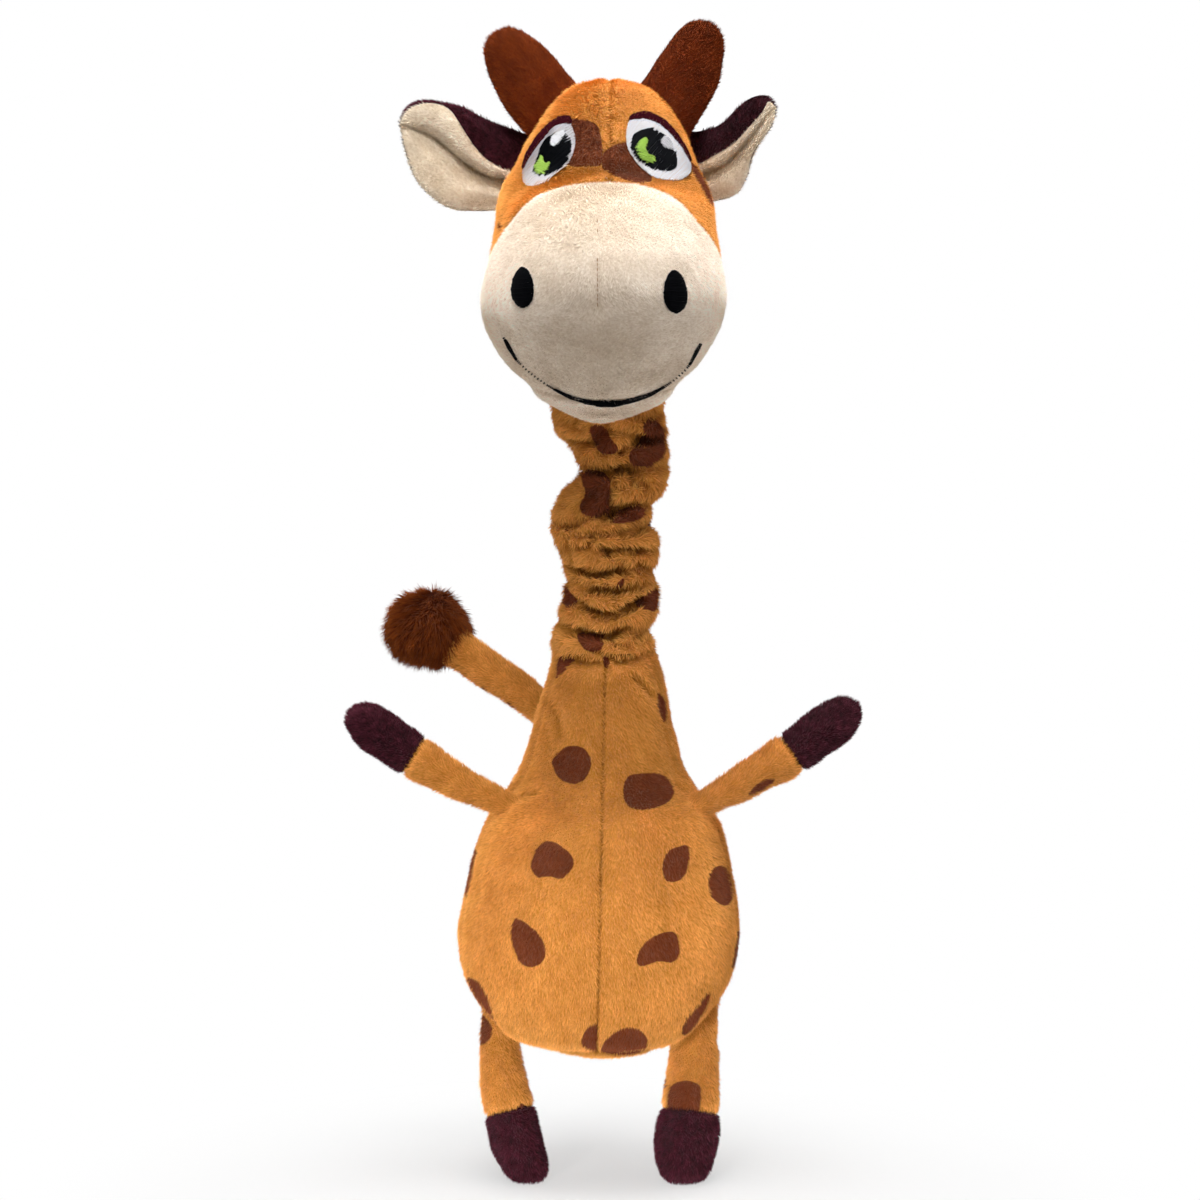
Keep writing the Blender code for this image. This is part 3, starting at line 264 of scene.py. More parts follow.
# %% [markdown]
# ## Cloth, seams, spots and pile
#
# A plush piece starts as a flat sheet, as the real one does. `wrap_sheet` makes the sheet as a grid, moves every
# crossing to its place on the toy and sews the two sides together. Working from one grid keeps the rows level
# and lets columns crowd at a seam, where the cloth has to turn sharply.

# %% Helpers for cloth
def smooth_step(share):
    """Eases from 0 to 1 as the share does, with level ends."""
    share = min(max(share, 0), 1)
    return share * share * (3 - 2 * share)


def edge_distance(points, start, end):
    """How far each point of a drawing is from the straight line between two of its places."""
    edge = end - start
    share = np.clip(((points - start) @ edge) / max(edge @ edge, 1e-12), 0, 1)
    return np.linalg.norm(points - start - share[:, None] * edge, axis=1)


def lengths_along(points):
    """The points of a drawn line as an array, and the length along the line at which each of them lies."""
    points = np.array(points, float)
    return points, np.concatenate([[0], np.cumsum(np.linalg.norm(np.diff(points, axis=0), axis=1))])


def at_length(points, lengths, at):
    """The place on a drawn line at a length, or the places at several."""
    return np.stack([np.interp(at, lengths, points[:, k]) for k in (0, 1)], axis=-1)


def table_curve(rows):
    """A smooth curve through the rows of a table, read by the value in their first column."""
    rows = np.array(rows, float)
    slopes = np.gradient(rows[:, 1:], rows[:, 0], axis=0)

    def curve(share):
        at = int(np.clip(np.searchsorted(rows[:, 0], share) - 1, 0, len(rows) - 2))
        span = rows[at + 1, 0] - rows[at, 0]
        part = min(max((share - rows[at, 0]) / span, 0), 1)
        rise = smooth_step(part)
        start = rows[at, 1:] * (1 - rise) + rows[at + 1, 1:] * rise
        lean = slopes[at] * part * (1 - part) ** 2 - slopes[at + 1] * part * part * (1 - part)
        return start + lean * span

    return curve


def crowded(count, seams, closeness):
    """Shares of a turn that crowd together at evenly spaced seams."""
    shares = [step / count for step in range(count + 1)]
    return [share - closeness * math.sin(math.tau * seams * share) / (math.tau * seams) for share in shares]


def wrap_sheet(place, columns, rows):
    """A flat grid of cloth with every crossing moved to its place, sewn together along its two sides."""
    sheet = bmesh.new()
    bmesh.ops.create_grid(sheet, x_segments=len(columns) - 1, y_segments=len(rows) - 1, size=0.5)
    chart = sheet.loops.layers.uv.new("OFBake")
    turn_of = sheet.faces.layers.float.new("turn")
    row_of = sheet.faces.layers.float.new("row")
    cover = sheet.verts.layers.float.new("pile")
    # How deep a point lies in a fold, which the plush turns into painted shade and painted highlight
    sheet.verts.layers.float.new("fold")
    for face in sheet.faces:
        for loop in face.loops:
            loop[chart].uv = loop.vert.co.x + 0.5, loop.vert.co.y + 0.5
        middle = face.calc_center_median()
        face[turn_of] = float(np.interp(middle.x + 0.5, np.linspace(0, 1, len(columns)), columns))
        face[row_of] = (middle.y + 0.5) * (len(rows) - 1)
    for vert in sheet.verts:
        column = round((vert.co.x + 0.5) * (len(columns) - 1))
        row = round((vert.co.y + 0.5) * (len(rows) - 1))
        vert.co = place(columns[column], rows[row])
        vert[cover] = 1.0
    bmesh.ops.remove_doubles(sheet, verts=sheet.verts, dist=0.00001)
    bmesh.ops.recalc_face_normals(sheet, faces=sheet.faces)
    return sheet


def even_rows(profile, spacing):
    """Places along a profile of (height, half-width) that lie evenly apart, in metres."""
    profile, lengths = lengths_along(profile)
    count = max(2, round(lengths[-1] / spacing))
    return [tuple(row) for row in at_length(profile, lengths, np.linspace(0, lengths[-1], count + 1))]


# Where two sheets meet, the lumps fade out over this height
LUMP_FADE = 0.010


def uneven(sheet, amount, size, seed, top=None):
    """Moves the cloth in and out over lumps of filling of one size, and leaves it alone at its top, if one is given."""
    shift = Vector((seed * 7.3, seed * 3.1, seed * 5.7))
    sheet.normal_update()
    for vert in sheet.verts:
        amount_here = amount * smooth_step((top - vert.co.z) / LUMP_FADE) if top else amount
        vert.co += vert.normal * noise.noise(vert.co / size + shift) * amount_here


# The groove at the stitches themselves, the pucker between stitches, and how widely the pile parts there
GROOVE_DEPTH, GROOVE_WIDTH = 0.0007, 0.0006
PUCKER_SHARE, PUCKER_SIZE = 0.35, 0.0045
PARTED_SHARE, PARTED_WIDTH = 0.92, 0.00035


def pinch(sheet, distance, depth, width):
    """Draws the cloth in along a seam, unevenly, as stitches do, and parts the pile at the stitched line."""
    cover = sheet.verts.layers.float["pile"]
    sheet.normal_update()
    for vert in sheet.verts:
        away = abs(distance(vert.co))
        if away < width * 3:
            pull = 1 + PUCKER_SHARE * noise.noise(vert.co / PUCKER_SIZE + Vector((3, 1, 4)))
            groove = GROOVE_DEPTH * math.exp(-(away / GROOVE_WIDTH) ** 2)
            deep = depth * math.exp(-(away / width) ** 2) + groove
            vert.co += vert.normal * -deep * pull
            vert[cover] *= 1 - PARTED_SHARE * math.exp(-(away / PARTED_WIDTH) ** 2)


# The traced folds are drawn a little deeper and narrower than they measure, because the pile fills them
TUCK_DEPTH_SHARE = 1.5
TUCK_WIDTH_SHARE = 0.85
JOIN_HEIGHT = 0.008


def tuck(sheet, lines):
    """Draws the cloth in along lines traced in pixels, each with its depth in millimetres and its width in pixels."""
    sheet.normal_update()
    verts = list(sheet.verts)
    outward = []
    for vert in verts:
        # Near the foot of the neck two sheets meet, and both move straight in
        level = 1 - smooth_step(abs(vert.co.z - BODY_TOP) / JOIN_HEIGHT)
        flat = Vector((vert.co.x, vert.co.y - AXIS_Y, 0)).normalized()
        outward.append((vert.normal * (1 - level) + flat * level).normalized())
    seen, facing = pixels_of(np.array([v.co for v in verts]), np.array(outward))
    deep = np.zeros(len(verts))
    for depth, width, line in lines:
        line = np.array(line, float)
        nearest = np.min([edge_distance(seen, start, end) for start, end in zip(line[:-1], line[1:])], axis=0)
        shape = np.exp(-(nearest / (width * TUCK_WIDTH_SHARE)) ** 1.5)
        deep = np.maximum(deep, depth * TUCK_DEPTH_SHARE / 1000 * shape)
    deep *= np.clip(facing * 1.6, 0, 1)
    # The pile thins out with the depth of the fold
    cover = sheet.verts.layers.float["pile"]
    for vert, away, amount in zip(verts, outward, deep):
        if amount > 0:
            move = -away * float(amount)
            vert[cover] *= 1 - min(0.75, move.length * 260)
            vert.co += move


# How wide the painted shade along a seam is, in metres
SEAM_SHADOW = 0.00055


def shade_hollows(sheet, rounds=14, full=0.0011, seams=()):
    """Writes how deep each point lies below the smoothed sheet: 1 in a fold, and below 0 on a ridge.

    Along a seam a thin line counts as a fold too. The plush paints shade from this value in folds and along seams,
    and a painted highlight on ridges.
    """
    sheet.normal_update()
    eased = sheet.copy()
    for _ in range(rounds):
        bmesh.ops.smooth_vert(
            eased, verts=eased.verts, factor=0.5, use_axis_x=True, use_axis_y=True, use_axis_z=True,
        )
    fold = sheet.verts.layers.float["fold"]
    for vert, smooth in zip(sheet.verts, eased.verts):
        hollow = (smooth.co - vert.co).dot(vert.normal) / full
        for seam, strength in seams:
            hollow += strength * math.exp(-(seam(vert.co) / SEAM_SHADOW) ** 2)
        vert[fold] = min(max(hollow, -1.0), 1.0)
    eased.free()


def plane_distance(point, normal):
    """How far a place is from a plane, as a function of the place."""
    normal = normal.normalized()
    return lambda place: (place - point).dot(normal)


def panel_of(sheet, keep):
    """A copy of the sheet with only the faces that belong to one panel."""
    panel = sheet.copy()
    turn_of = panel.faces.layers.float["turn"]
    row_of = panel.faces.layers.float["row"]
    others = [f for f in panel.faces if not keep(f[turn_of], f[row_of], f.calc_center_median())]
    bmesh.ops.delete(panel, geom=others, context="FACES")
    return panel


# %% [markdown]
# The real spots are printed before the cloth is cut, so their edges bend with every fold. Each spot in the
# photograph was traced as an outline in pixels, and the cloth gets the distance from the nearest edge at every
# crossing. Spots behind the toy are guesses: an uneven egg laid on the cloth at a place and a direction.

# %% Spots
EGG_CORNERS = 14


def inside_distance(points, outline):
    """Signed distance of each point from a closed outline, positive inside."""
    points = np.asarray(points, float)
    outline = np.asarray(outline, float)
    nearest = np.full(len(points), np.inf)
    inside = np.zeros(len(points), bool)
    for start, end in zip(outline, np.roll(outline, -1, axis=0)):
        nearest = np.minimum(nearest, edge_distance(points, start, end))
        crosses = (start[1] > points[:, 1]) != (end[1] > points[:, 1])
        with np.errstate(divide="ignore", invalid="ignore"):
            at = start[0] + (points[:, 1] - start[1]) / (end[1] - start[1]) * (end[0] - start[0])
        inside ^= crosses & (points[:, 0] < at)
    return np.where(inside, nearest, -nearest)


def rounded(outline):
    """The outline with its corners cut twice, which rounds them."""
    points = np.asarray(outline, float)
    for _ in range(2):
        after = np.roll(points, -1, axis=0)
        points = np.stack([points * 0.75 + after * 0.25, points * 0.25 + after * 0.75], axis=1).reshape(-1, 2)
    return points


def egg(half_wide, half_high, turn, seed):
    """The outline of a spot that the photograph doesn't show, in metres round its middle."""
    points = []
    for step in range(EGG_CORNERS):
        angle = math.tau * step / EGG_CORNERS
        size = 1 + 0.16 * noise.noise(Vector((math.cos(angle) * 1.3, math.sin(angle) * 1.3, seed * 2.7)))
        points.append((half_wide * size * math.cos(angle), half_high * size * math.sin(angle)))
    spin = np.array([[math.cos(turn), -math.sin(turn)], [math.sin(turn), math.cos(turn)]])
    return np.array(points) @ spin


def pixels_of(places, normals):
    """Where each place is seen in the photograph, and how squarely it faces the camera."""
    away = places - np.array(VIEW_PLACE)
    depth = away[:, 1] / VIEW_DISTANCE * PIXEL
    seen = np.stack([PICTURE / 2 + away[:, 0] / depth, PICTURE / 2 - away[:, 2] / depth], axis=1)
    return seen, -np.sum(normals * away, axis=1) / np.linalg.norm(away, axis=1)


# The distance in millimetres that stands for cloth far from any spot
UNPRINTED = -9.0


def print_spots(sheet, traced=(), placed=()):
    """Writes how far each point of the cloth lies inside the nearest spot, in millimetres.

    Traced spots are outlines in the photograph's pixels, and placed ones have a middle on the cloth.
    """
    sheet.normal_update()
    layer = sheet.verts.layers.float.new("print")
    verts = list(sheet.verts)
    places = np.array([v.co for v in verts])
    normals = np.array([v.normal for v in verts])
    seen, facing = pixels_of(places, normals)
    best = np.full(len(verts), UNPRINTED)
    for outline in traced:
        distance = inside_distance(seen, rounded(outline)) * PIXEL * 1000
        # Cloth seen edge on keeps the sides of a spot from running round behind
        distance = np.where(facing > 0.0, distance, np.minimum(distance, facing * 12))
        best = np.maximum(best, distance)
    for middle, normal, outline in placed:
        normal = Vector(normal).normalized()
        across = Vector((0, 0, 1)).cross(normal)
        across = across.normalized() if across.length > 0.01 else Vector((1, 0, 0))
        upward = normal.cross(across)
        offset = places - np.array(middle)
        flat = np.stack([offset @ np.array(across), offset @ np.array(upward)], axis=1)
        distance = inside_distance(flat, outline) * 1000
        distance = np.where(normals @ np.array(normal) > 0.1, distance, UNPRINTED)
        best = np.maximum(best, distance)
    for vert, value in zip(verts, best):
        vert[layer] = value


# %% [markdown]
# The pile is real geometry. A node group scatters points over the cloth, sets a thin three-sided cone on each
# and leans it along the nap, as combed pile lies. The group is shared by every plush piece, with the length,
# the width and the number of fibres as its inputs, and its result is applied so that the piece is a plain mesh.

# %% Pile
# The size of the swirls of the nap in metres, and how far single fibres stray from it
SWIRL_SIZE = 0.0032
STRAY = 0.35


def make_pile_group():
    """The node group that plants, leans and colours the fibres of one piece."""
    group = bpy.data.node_groups.new("pile", "GeometryNodeTree")
    face = group.interface
    face.new_socket("Geometry", in_out="OUTPUT", socket_type="NodeSocketGeometry")
    face.new_socket("Geometry", in_out="INPUT", socket_type="NodeSocketGeometry")
    for name, kind in (("Density", "NodeSocketFloat"), ("Length", "NodeSocketFloat"), ("Width", "NodeSocketFloat"),
                       ("Lean", "NodeSocketFloat"), ("Seed", "NodeSocketInt"), ("Fibre", "NodeSocketMaterial"),
                       ("Clump", "NodeSocketFloat")):
        face.new_socket(name, in_out="INPUT", socket_type=kind)
    given = group.nodes.new("NodeGroupInput").outputs
    cover, printed, nap, rest = (
        node(group, "GeometryNodeInputNamedAttribute", {"Name": name}, data_type=kind).outputs[0]
        for name, kind in (("pile", "FLOAT"), ("print", "FLOAT"), ("nap", "FLOAT_VECTOR"), ("rest", "FLOAT_VECTOR"))
    )
    amount = node(group, "ShaderNodeMath", {0: given["Density"], 1: cover}, operation="MULTIPLY")
    scatter = node(group, "GeometryNodeDistributePointsOnFaces", {
        "Mesh": given["Geometry"], "Density": amount.outputs[0], "Seed": given["Seed"],
    }, distribute_method="RANDOM")
    half = node(group, "ShaderNodeMath", {0: given["Width"], 1: 0.5}, operation="MULTIPLY")
    cone = node(group, "GeometryNodeMeshCone", {
        "Vertices": 3, "Side Segments": 1, "Radius Top": 0.0, "Radius Bottom": half.outputs[0],
        "Depth": given["Length"],
    }, fill_type="NONE")
    position = node(group, "GeometryNodeInputPosition").outputs[0]
    height = node(group, "ShaderNodeSeparateXYZ", {0: position})
    share = node(group, "ShaderNodeMath", {0: height.outputs["Z"], 1: given["Length"]}, operation="DIVIDE")
    fibre = node(group, "GeometryNodeStoreNamedAttribute", {
        "Geometry": cone.outputs["Mesh"], "Name": "tip", "Value": share.outputs[0],
    }, data_type="FLOAT", domain="POINT")
    # The nap turns a little from one clump to the next
    swirl = node(group, "ShaderNodeTexNoise", {"Vector": rest, "Scale": 1 / SWIRL_SIZE, "Detail": 1.0})
    centred = node(group, "ShaderNodeVectorMath", {0: swirl.outputs["Color"], 1: (0.5, 0.5, 0.5)}, operation="SUBTRACT")
    strong = node(group, "ShaderNodeVectorMath", {0: centred.outputs[0], "Scale": given["Clump"]}, operation="SCALE")
    stray = node(group, "FunctionNodeRandomValue", {
        0: [-STRAY] * 3, 1: [STRAY] * 3, "Seed": given["Seed"],
    }, data_type="FLOAT_VECTOR")
    lain = nap
    for turned in (strong, stray):
        lain = node(group, "ShaderNodeVectorMath", {0: lain, 1: turned.outputs[0]}, operation="ADD").outputs[0]
    lean = node(group, "ShaderNodeVectorMath", {0: lain, "Scale": given["Lean"]}, operation="SCALE")
    aim = node(group, "ShaderNodeVectorMath", {0: scatter.outputs["Normal"], 1: lean.outputs[0]}, operation="ADD")
    turn = node(group, "FunctionNodeAlignRotationToVector", {"Vector": aim.outputs[0]}, axis="Z")
    size = node(group, "FunctionNodeRandomValue", {2: 0.7, 3: 1.2, "Seed": given["Seed"]}, data_type="FLOAT")
    planted = node(group, "GeometryNodeInstanceOnPoints", {
        "Points": scatter.outputs["Points"], "Instance": fibre.outputs["Geometry"],
        "Rotation": turn.outputs["Rotation"], "Scale": size.outputs[1],
    })
    grown = node(group, "GeometryNodeRealizeInstances", {"Geometry": planted.outputs["Instances"]})
    # A leaning fibre takes the print of the cloth that each of its points lies over, so a spot's edge stays crisp
    under = node(group, "GeometryNodeSampleNearestSurface", {
        "Mesh": given["Geometry"], "Value": printed, "Sample Position": position,
    }, data_type="FLOAT")
    grown = node(group, "GeometryNodeStoreNamedAttribute", {
        "Geometry": grown.outputs[0], "Name": "print", "Value": under.outputs["Value"],
    }, data_type="FLOAT", domain="POINT")
    coloured = node(group, "GeometryNodeSetMaterial", {"Geometry": grown.outputs[0], "Material": given["Fibre"]})
    joined = node(group, "GeometryNodeJoinGeometry")
    group.links.new(coloured.outputs[0], joined.inputs[0])
    group.links.new(given["Geometry"], joined.inputs[0])
    node(group, "NodeGroupOutput", {"Geometry": joined.outputs[0]})
    return group


PILE = make_pile_group()


def grow_pile(piece, density, length, width, lean, seed=1, clump=1.2):
    """Grows the pile and applies it. Density is in fibres a square millimetre, lengths are in metres."""
    modifier = piece.modifiers.new("pile", "NODES")
    modifier.node_group = PILE
    values = {"Density": density * 1e6, "Length": length, "Width": width, "Lean": lean, "Seed": seed,
              "Fibre": piece.data.materials[0], "Clump": clump}
    for item in PILE.interface.items_tree:
        if item.in_out == "INPUT" and item.name in values:
            modifier[item.identifier] = values[item.name]
    bpy.context.view_layer.update()
    graph = bpy.context.evaluated_depsgraph_get()
    mesh = bpy.data.meshes.new_from_object(piece.evaluated_get(graph))
    piece.modifiers.clear()
    piece.data = mesh
    mesh.name = piece.name


# %% [markdown]
# The toy uses a few cuts of pile: plush on the body, a finer one on the ears and horns, a tufty one on the hooves
# and a dense velboa on the muzzle. A table of settings for each keeps them alike wherever they return. Every
# piece remembers its places at rest, so that its pattern doesn't swim when a joint bends it.

# %% Finish a piece of cloth
GATHERED = bpy.data.collections.new("dressed_giraffe")
bpy.context.scene.collection.children.link(GATHERED)
# Piles by fibres a square millimetre, length and width in metres, how far they lean and how much they clump
SHORT = dict(density=4.0, length=0.0018, width=0.00034, lean=1.1, clump=0.9)
FINE = dict(density=4.4, length=0.0013, width=0.00030, lean=1.1, clump=0.6)
TUFTY = dict(density=4.4, length=0.0014, width=0.00032, lean=0.7, clump=1.5)
VELBOA = dict(density=6.0, length=0.0011, width=0.00022, lean=1.2, clump=0.5)


def finish_piece(name, sheet, material, nap=None, pile=None):
    """Turns a sheet into a piece that carries its attributes, and grows its pile."""
    sheet.normal_update()
    rest = sheet.verts.layers.float_vector.new("rest")
    napped = sheet.verts.layers.float_vector.new("nap")
    cover = sheet.verts.layers.float.get("pile")
    if not cover:
        cover = sheet.verts.layers.float.new("pile")
        for vert in sheet.verts:
            vert[cover] = 1.0
    for vert in sheet.verts:
        vert[rest] = vert.co
        if nap:
            along = nap(vert.co)
            along = along - vert.normal * along.dot(vert.normal)
            vert[napped] = along.normalized() if along.length > 1e-6 else along
    mesh = bpy.data.meshes.new(name)
    sheet.to_mesh(mesh)
    sheet.free()
    mesh.shade_smooth()
    mesh.materials.append(material)
    piece = bpy.data.objects.new(name, mesh)
    GATHERED.objects.link(piece)
    if pile:
        grow_pile(piece, seed=sum(map(ord, name)) % 97, **pile)
    print(name, "triangles:", sum(len(p.vertices) - 2 for p in piece.data.polygons))
    return piece


def follow(piece, body, slot, nodes=()):
    """Lets a finished piece ride on its body and stand for its solids."""
    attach(piece, body)
    if nodes:
        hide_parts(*nodes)


def bend_with(piece, first, second, start, end, slot, nodes=()):
    """Lets a finished piece bend across the joint between two bodies."""
    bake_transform(piece, first, second, start=start, end=end)
    if nodes:
        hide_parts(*nodes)


# %% [markdown]
# ## Body
#
# The body is a pear of four panels and a base. Its front and back panels meet at two side seams and at the
# centre front and back. A ring of the pear is two half ellipses, fuller in front than behind, and the columns
# of the sheet are laid so that each seam has a column of its own.

# %% Body shape
BELLY_HALF = 0.0950 / 2
BODY_LEAN = 0.0029
BODY_STEPS = 120
SIDE_SEAM_Y = AXIS_Y - 0.0080
BASE_SEAM_Z = BASE_HEIGHT + 0.0052
BODY_SHARES = (
    (0.000, 0.24), (0.009, 0.37), (0.030, 0.55), (0.080, 0.73), (0.139, 0.859), (0.210, 0.955),
    (0.290, 1.000), (0.370, 0.988), (0.450, 0.943), (0.536, 0.879), (0.590, 0.815), (0.640, 0.704),
    (0.700, 0.592), (0.784, 0.506), (0.890, 0.436), (1.000, 0.357),
)
body_half = table_curve(BODY_SHARES)


def body_centre(share):
    """The body leans a little to the picture's right as it rises."""
    return BODY_LEAN * (share - 0.5)


def body_place(turn, row):
    """A place on the pear. The turn starts at the centre front and runs to the picture's right."""
    rise, half = row
    share = (rise - BASE_HEIGHT) / BODY_HEIGHT
    front = half * (0.92 + 0.08 * share)
    back = half * (0.86 + 0.14 * share)
    seam = math.acos(min((AXIS_Y - SIDE_SEAM_Y) / max(front, 0.0081), 1))
    stops = (0, seam, math.pi, math.tau - seam, math.tau)
    quarter = min(int(turn * 4), 3)
    part = turn * 4 - quarter
    angle = stops[quarter] * (1 - part) + stops[quarter + 1] * part
    depth = front if math.cos(angle) > 0 else back
    # The base panel is drawn up a little by its seam
    lifted = rise + 0.0022 * max(0.0, 1 - share / 0.16) ** 1.5
    return Vector((body_centre(share) + half * math.sin(angle), AXIS_Y - depth * math.cos(angle), lifted))


profile = [(BASE_HEIGHT, 0.0002), (BASE_HEIGHT, BELLY_HALF * 0.24)]
for step in range(1, BODY_STEPS + 1):
    share = step / BODY_STEPS
    profile.append((BASE_HEIGHT + BODY_HEIGHT * step / BODY_STEPS, BELLY_HALF * float(body_half(share)[0])))
body_rows = even_rows(profile, 0.0014)
base_row = min(range(len(body_rows)), key=lambda at: abs(body_rows[at][0] - BASE_SEAM_Z) + (at < 8))
body_sheet = wrap_sheet(body_place, crowded(176, 4, 0.80), body_rows)
print("body sheet:", len(body_sheet.verts), "crossings, base seam at row", base_row)

# %% [markdown]
# The filling swells the cloth unevenly, and every seam draws it in. Lumps of two sizes come from smooth noise,
# and the seams are pinched along their planes. The gathered neck pulls small folds into the top of the body.

# %% Body filling and seams
uneven(body_sheet, 0.0014, 0.030, 1, BODY_TOP)
uneven(body_sheet, 0.0005, 0.010, 2, BODY_TOP)


def across_body(place):
    """The centre seams stop at the base panel, which is one piece."""
    share = (place.z - BASE_HEIGHT) / BODY_HEIGHT
    return place.x - body_centre(share) if place.z > BASE_SEAM_Z + 0.0002 else 1.0


def body_side_seam(place):
    return place.y - SIDE_SEAM_Y


def base_seam(place):
    return place.z - BASE_SEAM_Z if place.z < 0.06 else 1.0


pinch(body_sheet, across_body, 0.0007, 0.0024)
pinch(body_sheet, body_side_seam, 0.0009, 0.0020)
pinch(body_sheet, base_seam, 0.0008, 0.0018)
# Folds traced on the neck and on the cloth round it: depth in millimetres, width and places in pixels
TUCKS = (
    (2.5, 4.5, ((567, 440), (577, 443), (586, 444), (595, 443))),
    (1.5, 4, ((573, 429), (583, 431), (592, 426), (607, 424))),
    (4.8, 5.5, ((619, 452), (629, 446), (638, 441), (647, 440), (656, 440))),
    (1.2, 3.5, ((635, 429), (642, 426), (650, 421))),
    (1.6, 3, ((598, 454), (607, 455), (619, 451))),
    (3.2, 4.5, ((579, 472), (586, 470), (595, 473), (607, 473), (616, 470), (627, 466))),
    (3.2, 5, ((630, 470), (633, 479), (641, 484), (647, 487))),
    (2.0, 4, ((611, 490), (621, 487), (632, 486))),
    (2.2, 3.5, ((613, 473), (614, 484), (611, 496), (610, 507), (614, 512))),
    (2.8, 3.5, ((610, 507), (621, 507), (632, 505), (644, 506), (650, 505))),
    (3.8, 4.5, ((557, 526), (566, 528), (577, 528), (587, 528), (598, 525), (607, 519), (615, 512), (622, 513),
                (632, 515))),
    (3.2, 3.5, ((648, 525), (638, 532), (629, 535), (621, 537))),
    (1.6, 3.5, ((566, 528), (567, 541), (569, 551), (572, 564))),
    (1.8, 3, ((593, 532), (593, 539), (589, 545), (585, 547))),
    (3.0, 3.5, ((602, 548), (606, 553), (611, 556))),
    (2.6, 3, ((607, 550), (619, 549), (632, 550), (648, 549))),
    (2.4, 3.5, ((607, 555), (616, 560), (623, 564), (628, 571), (630, 577))),
    (3.2, 3.5, ((566, 565), (573, 569), (583, 572), (592, 574), (604, 574), (616, 571), (627, 570))),
    (2.2, 3.5, ((651, 568), (644, 565), (638, 563))),
    (1.4, 3, ((573, 581), (583, 584), (592, 584), (604, 584), (613, 581))),
    (2.6, 4, ((586, 591), (598, 590), (607, 590), (616, 591), (630, 590), (642, 587))),
    (2.8, 4, ((567, 588), (575, 597), (580, 602), (589, 610), (598, 613), (610, 613))),
    (4.8, 5, ((656, 590), (647, 597), (638, 603), (630, 607), (621, 608))),
    (1.2, 2.5, ((614, 591), (614, 603), (615, 616), (614, 622))),
    (3.6, 4.5, ((557, 620), (564, 625), (573, 629), (586, 632), (598, 634), (607, 637), (614, 636), (621, 630),
                (627, 628))),
    (3.0, 4, ((646, 632), (638, 639), (632, 644), (626, 646), (616, 646))),
    (3.2, 4, ((592, 652), (601, 652), (607, 656), (616, 660), (630, 660), (642, 656), (651, 652))),
    (2.2, 6, ((567, 659), (577, 660), (589, 662), (599, 661))),
    (1.6, 3, ((605, 656), (607, 663), (609, 670))),
    (1.6, 2.5, ((505, 808), (515, 800), (525, 795), (538, 791))),
    (1.6, 2.5, ((675, 783), (700, 800), (716, 828))),
    (1.4, 4.0, ((634, 676), (644, 684), (652, 694))),
    (1.0, 5.0, ((545, 700), (556, 715), (560, 735))),
)
tuck(body_sheet, TUCKS)
shade_hollows(body_sheet, seams=((across_body, 0.9), (body_side_seam, 0.5), (base_seam, 0.6)))

BODY_TRACED = (
    ((551, 760), (558, 754), (566, 746), (579, 746), (587, 750), (592, 761), (590, 773), (582, 783), (572, 785),
     (559, 780), (554, 769)),
    ((623, 787), (626, 778), (632, 774), (656, 773), (666, 777), (674, 790), (672, 799), (662, 807), (642, 811),
     (629, 808), (623, 799)),
    ((530, 865), (534, 857), (537, 848), (544, 841), (554, 841), (565, 849), (572, 855), (575, 863), (570, 873),
     (561, 881), (554, 877), (548, 876), (539, 879), (534, 874)),
    ((689, 844), (688, 865), (683, 879), (673, 883), (665, 881), (661, 869), (664, 856), (670, 849), (681, 846)),
    ((707, 881), (710, 870), (718, 865), (725, 868), (729, 876), (732, 893), (729, 904), (722, 907), (714, 902),
     (709, 894)),
    ((515, 915), (524, 921), (537, 931), (545, 943), (547, 954), (541, 965), (530, 968), (520, 963), (513, 946),
     (511, 932)),
    ((635, 964), (638, 952), (646, 940), (662, 932), (675, 931), (678, 939), (680, 952), (676, 962), (670, 963),
     (659, 960), (649, 964), (641, 967)),
    ((467, 977), (474, 976), (485, 988), (492, 1005), (495, 1018), (504, 1029), (500, 1032), (490, 1029),
     (479, 1013), (472, 997)),
    ((711, 988), (708, 999), (703, 1011), (693, 1025), (684, 1035), (679, 1033), (684, 1019), (695, 1008),
     (703, 996)),
    ((599, 1022), (597, 1050), (586, 1047), (580, 1043), (585, 1029), (592, 1024)),
    ((601, 1052), (602, 1045), (608, 1036), (620, 1028), (634, 1026), (644, 1032), (648, 1041), (644, 1051),
     (622, 1054)),
    ((602, 655), (609, 657), (610, 667), (606, 670), (603, 663)),
)


def on_body(turn, rise):
    """A place on the body and its outward direction, for a spot that the photograph doesn't trace."""
    half = BELLY_HALF * float(body_half((rise - BASE_HEIGHT) / BODY_HEIGHT)[0])
    place = body_place(turn, (rise, half))
    ahead = body_place(turn + 0.002, (rise, half)) - place
    over = BELLY_HALF * float(body_half((rise + 0.001 - BASE_HEIGHT) / BODY_HEIGHT)[0])
    above = body_place(turn, (rise + 0.001, over)) - place
    normal = ahead.cross(above).normalized()
    return place, normal


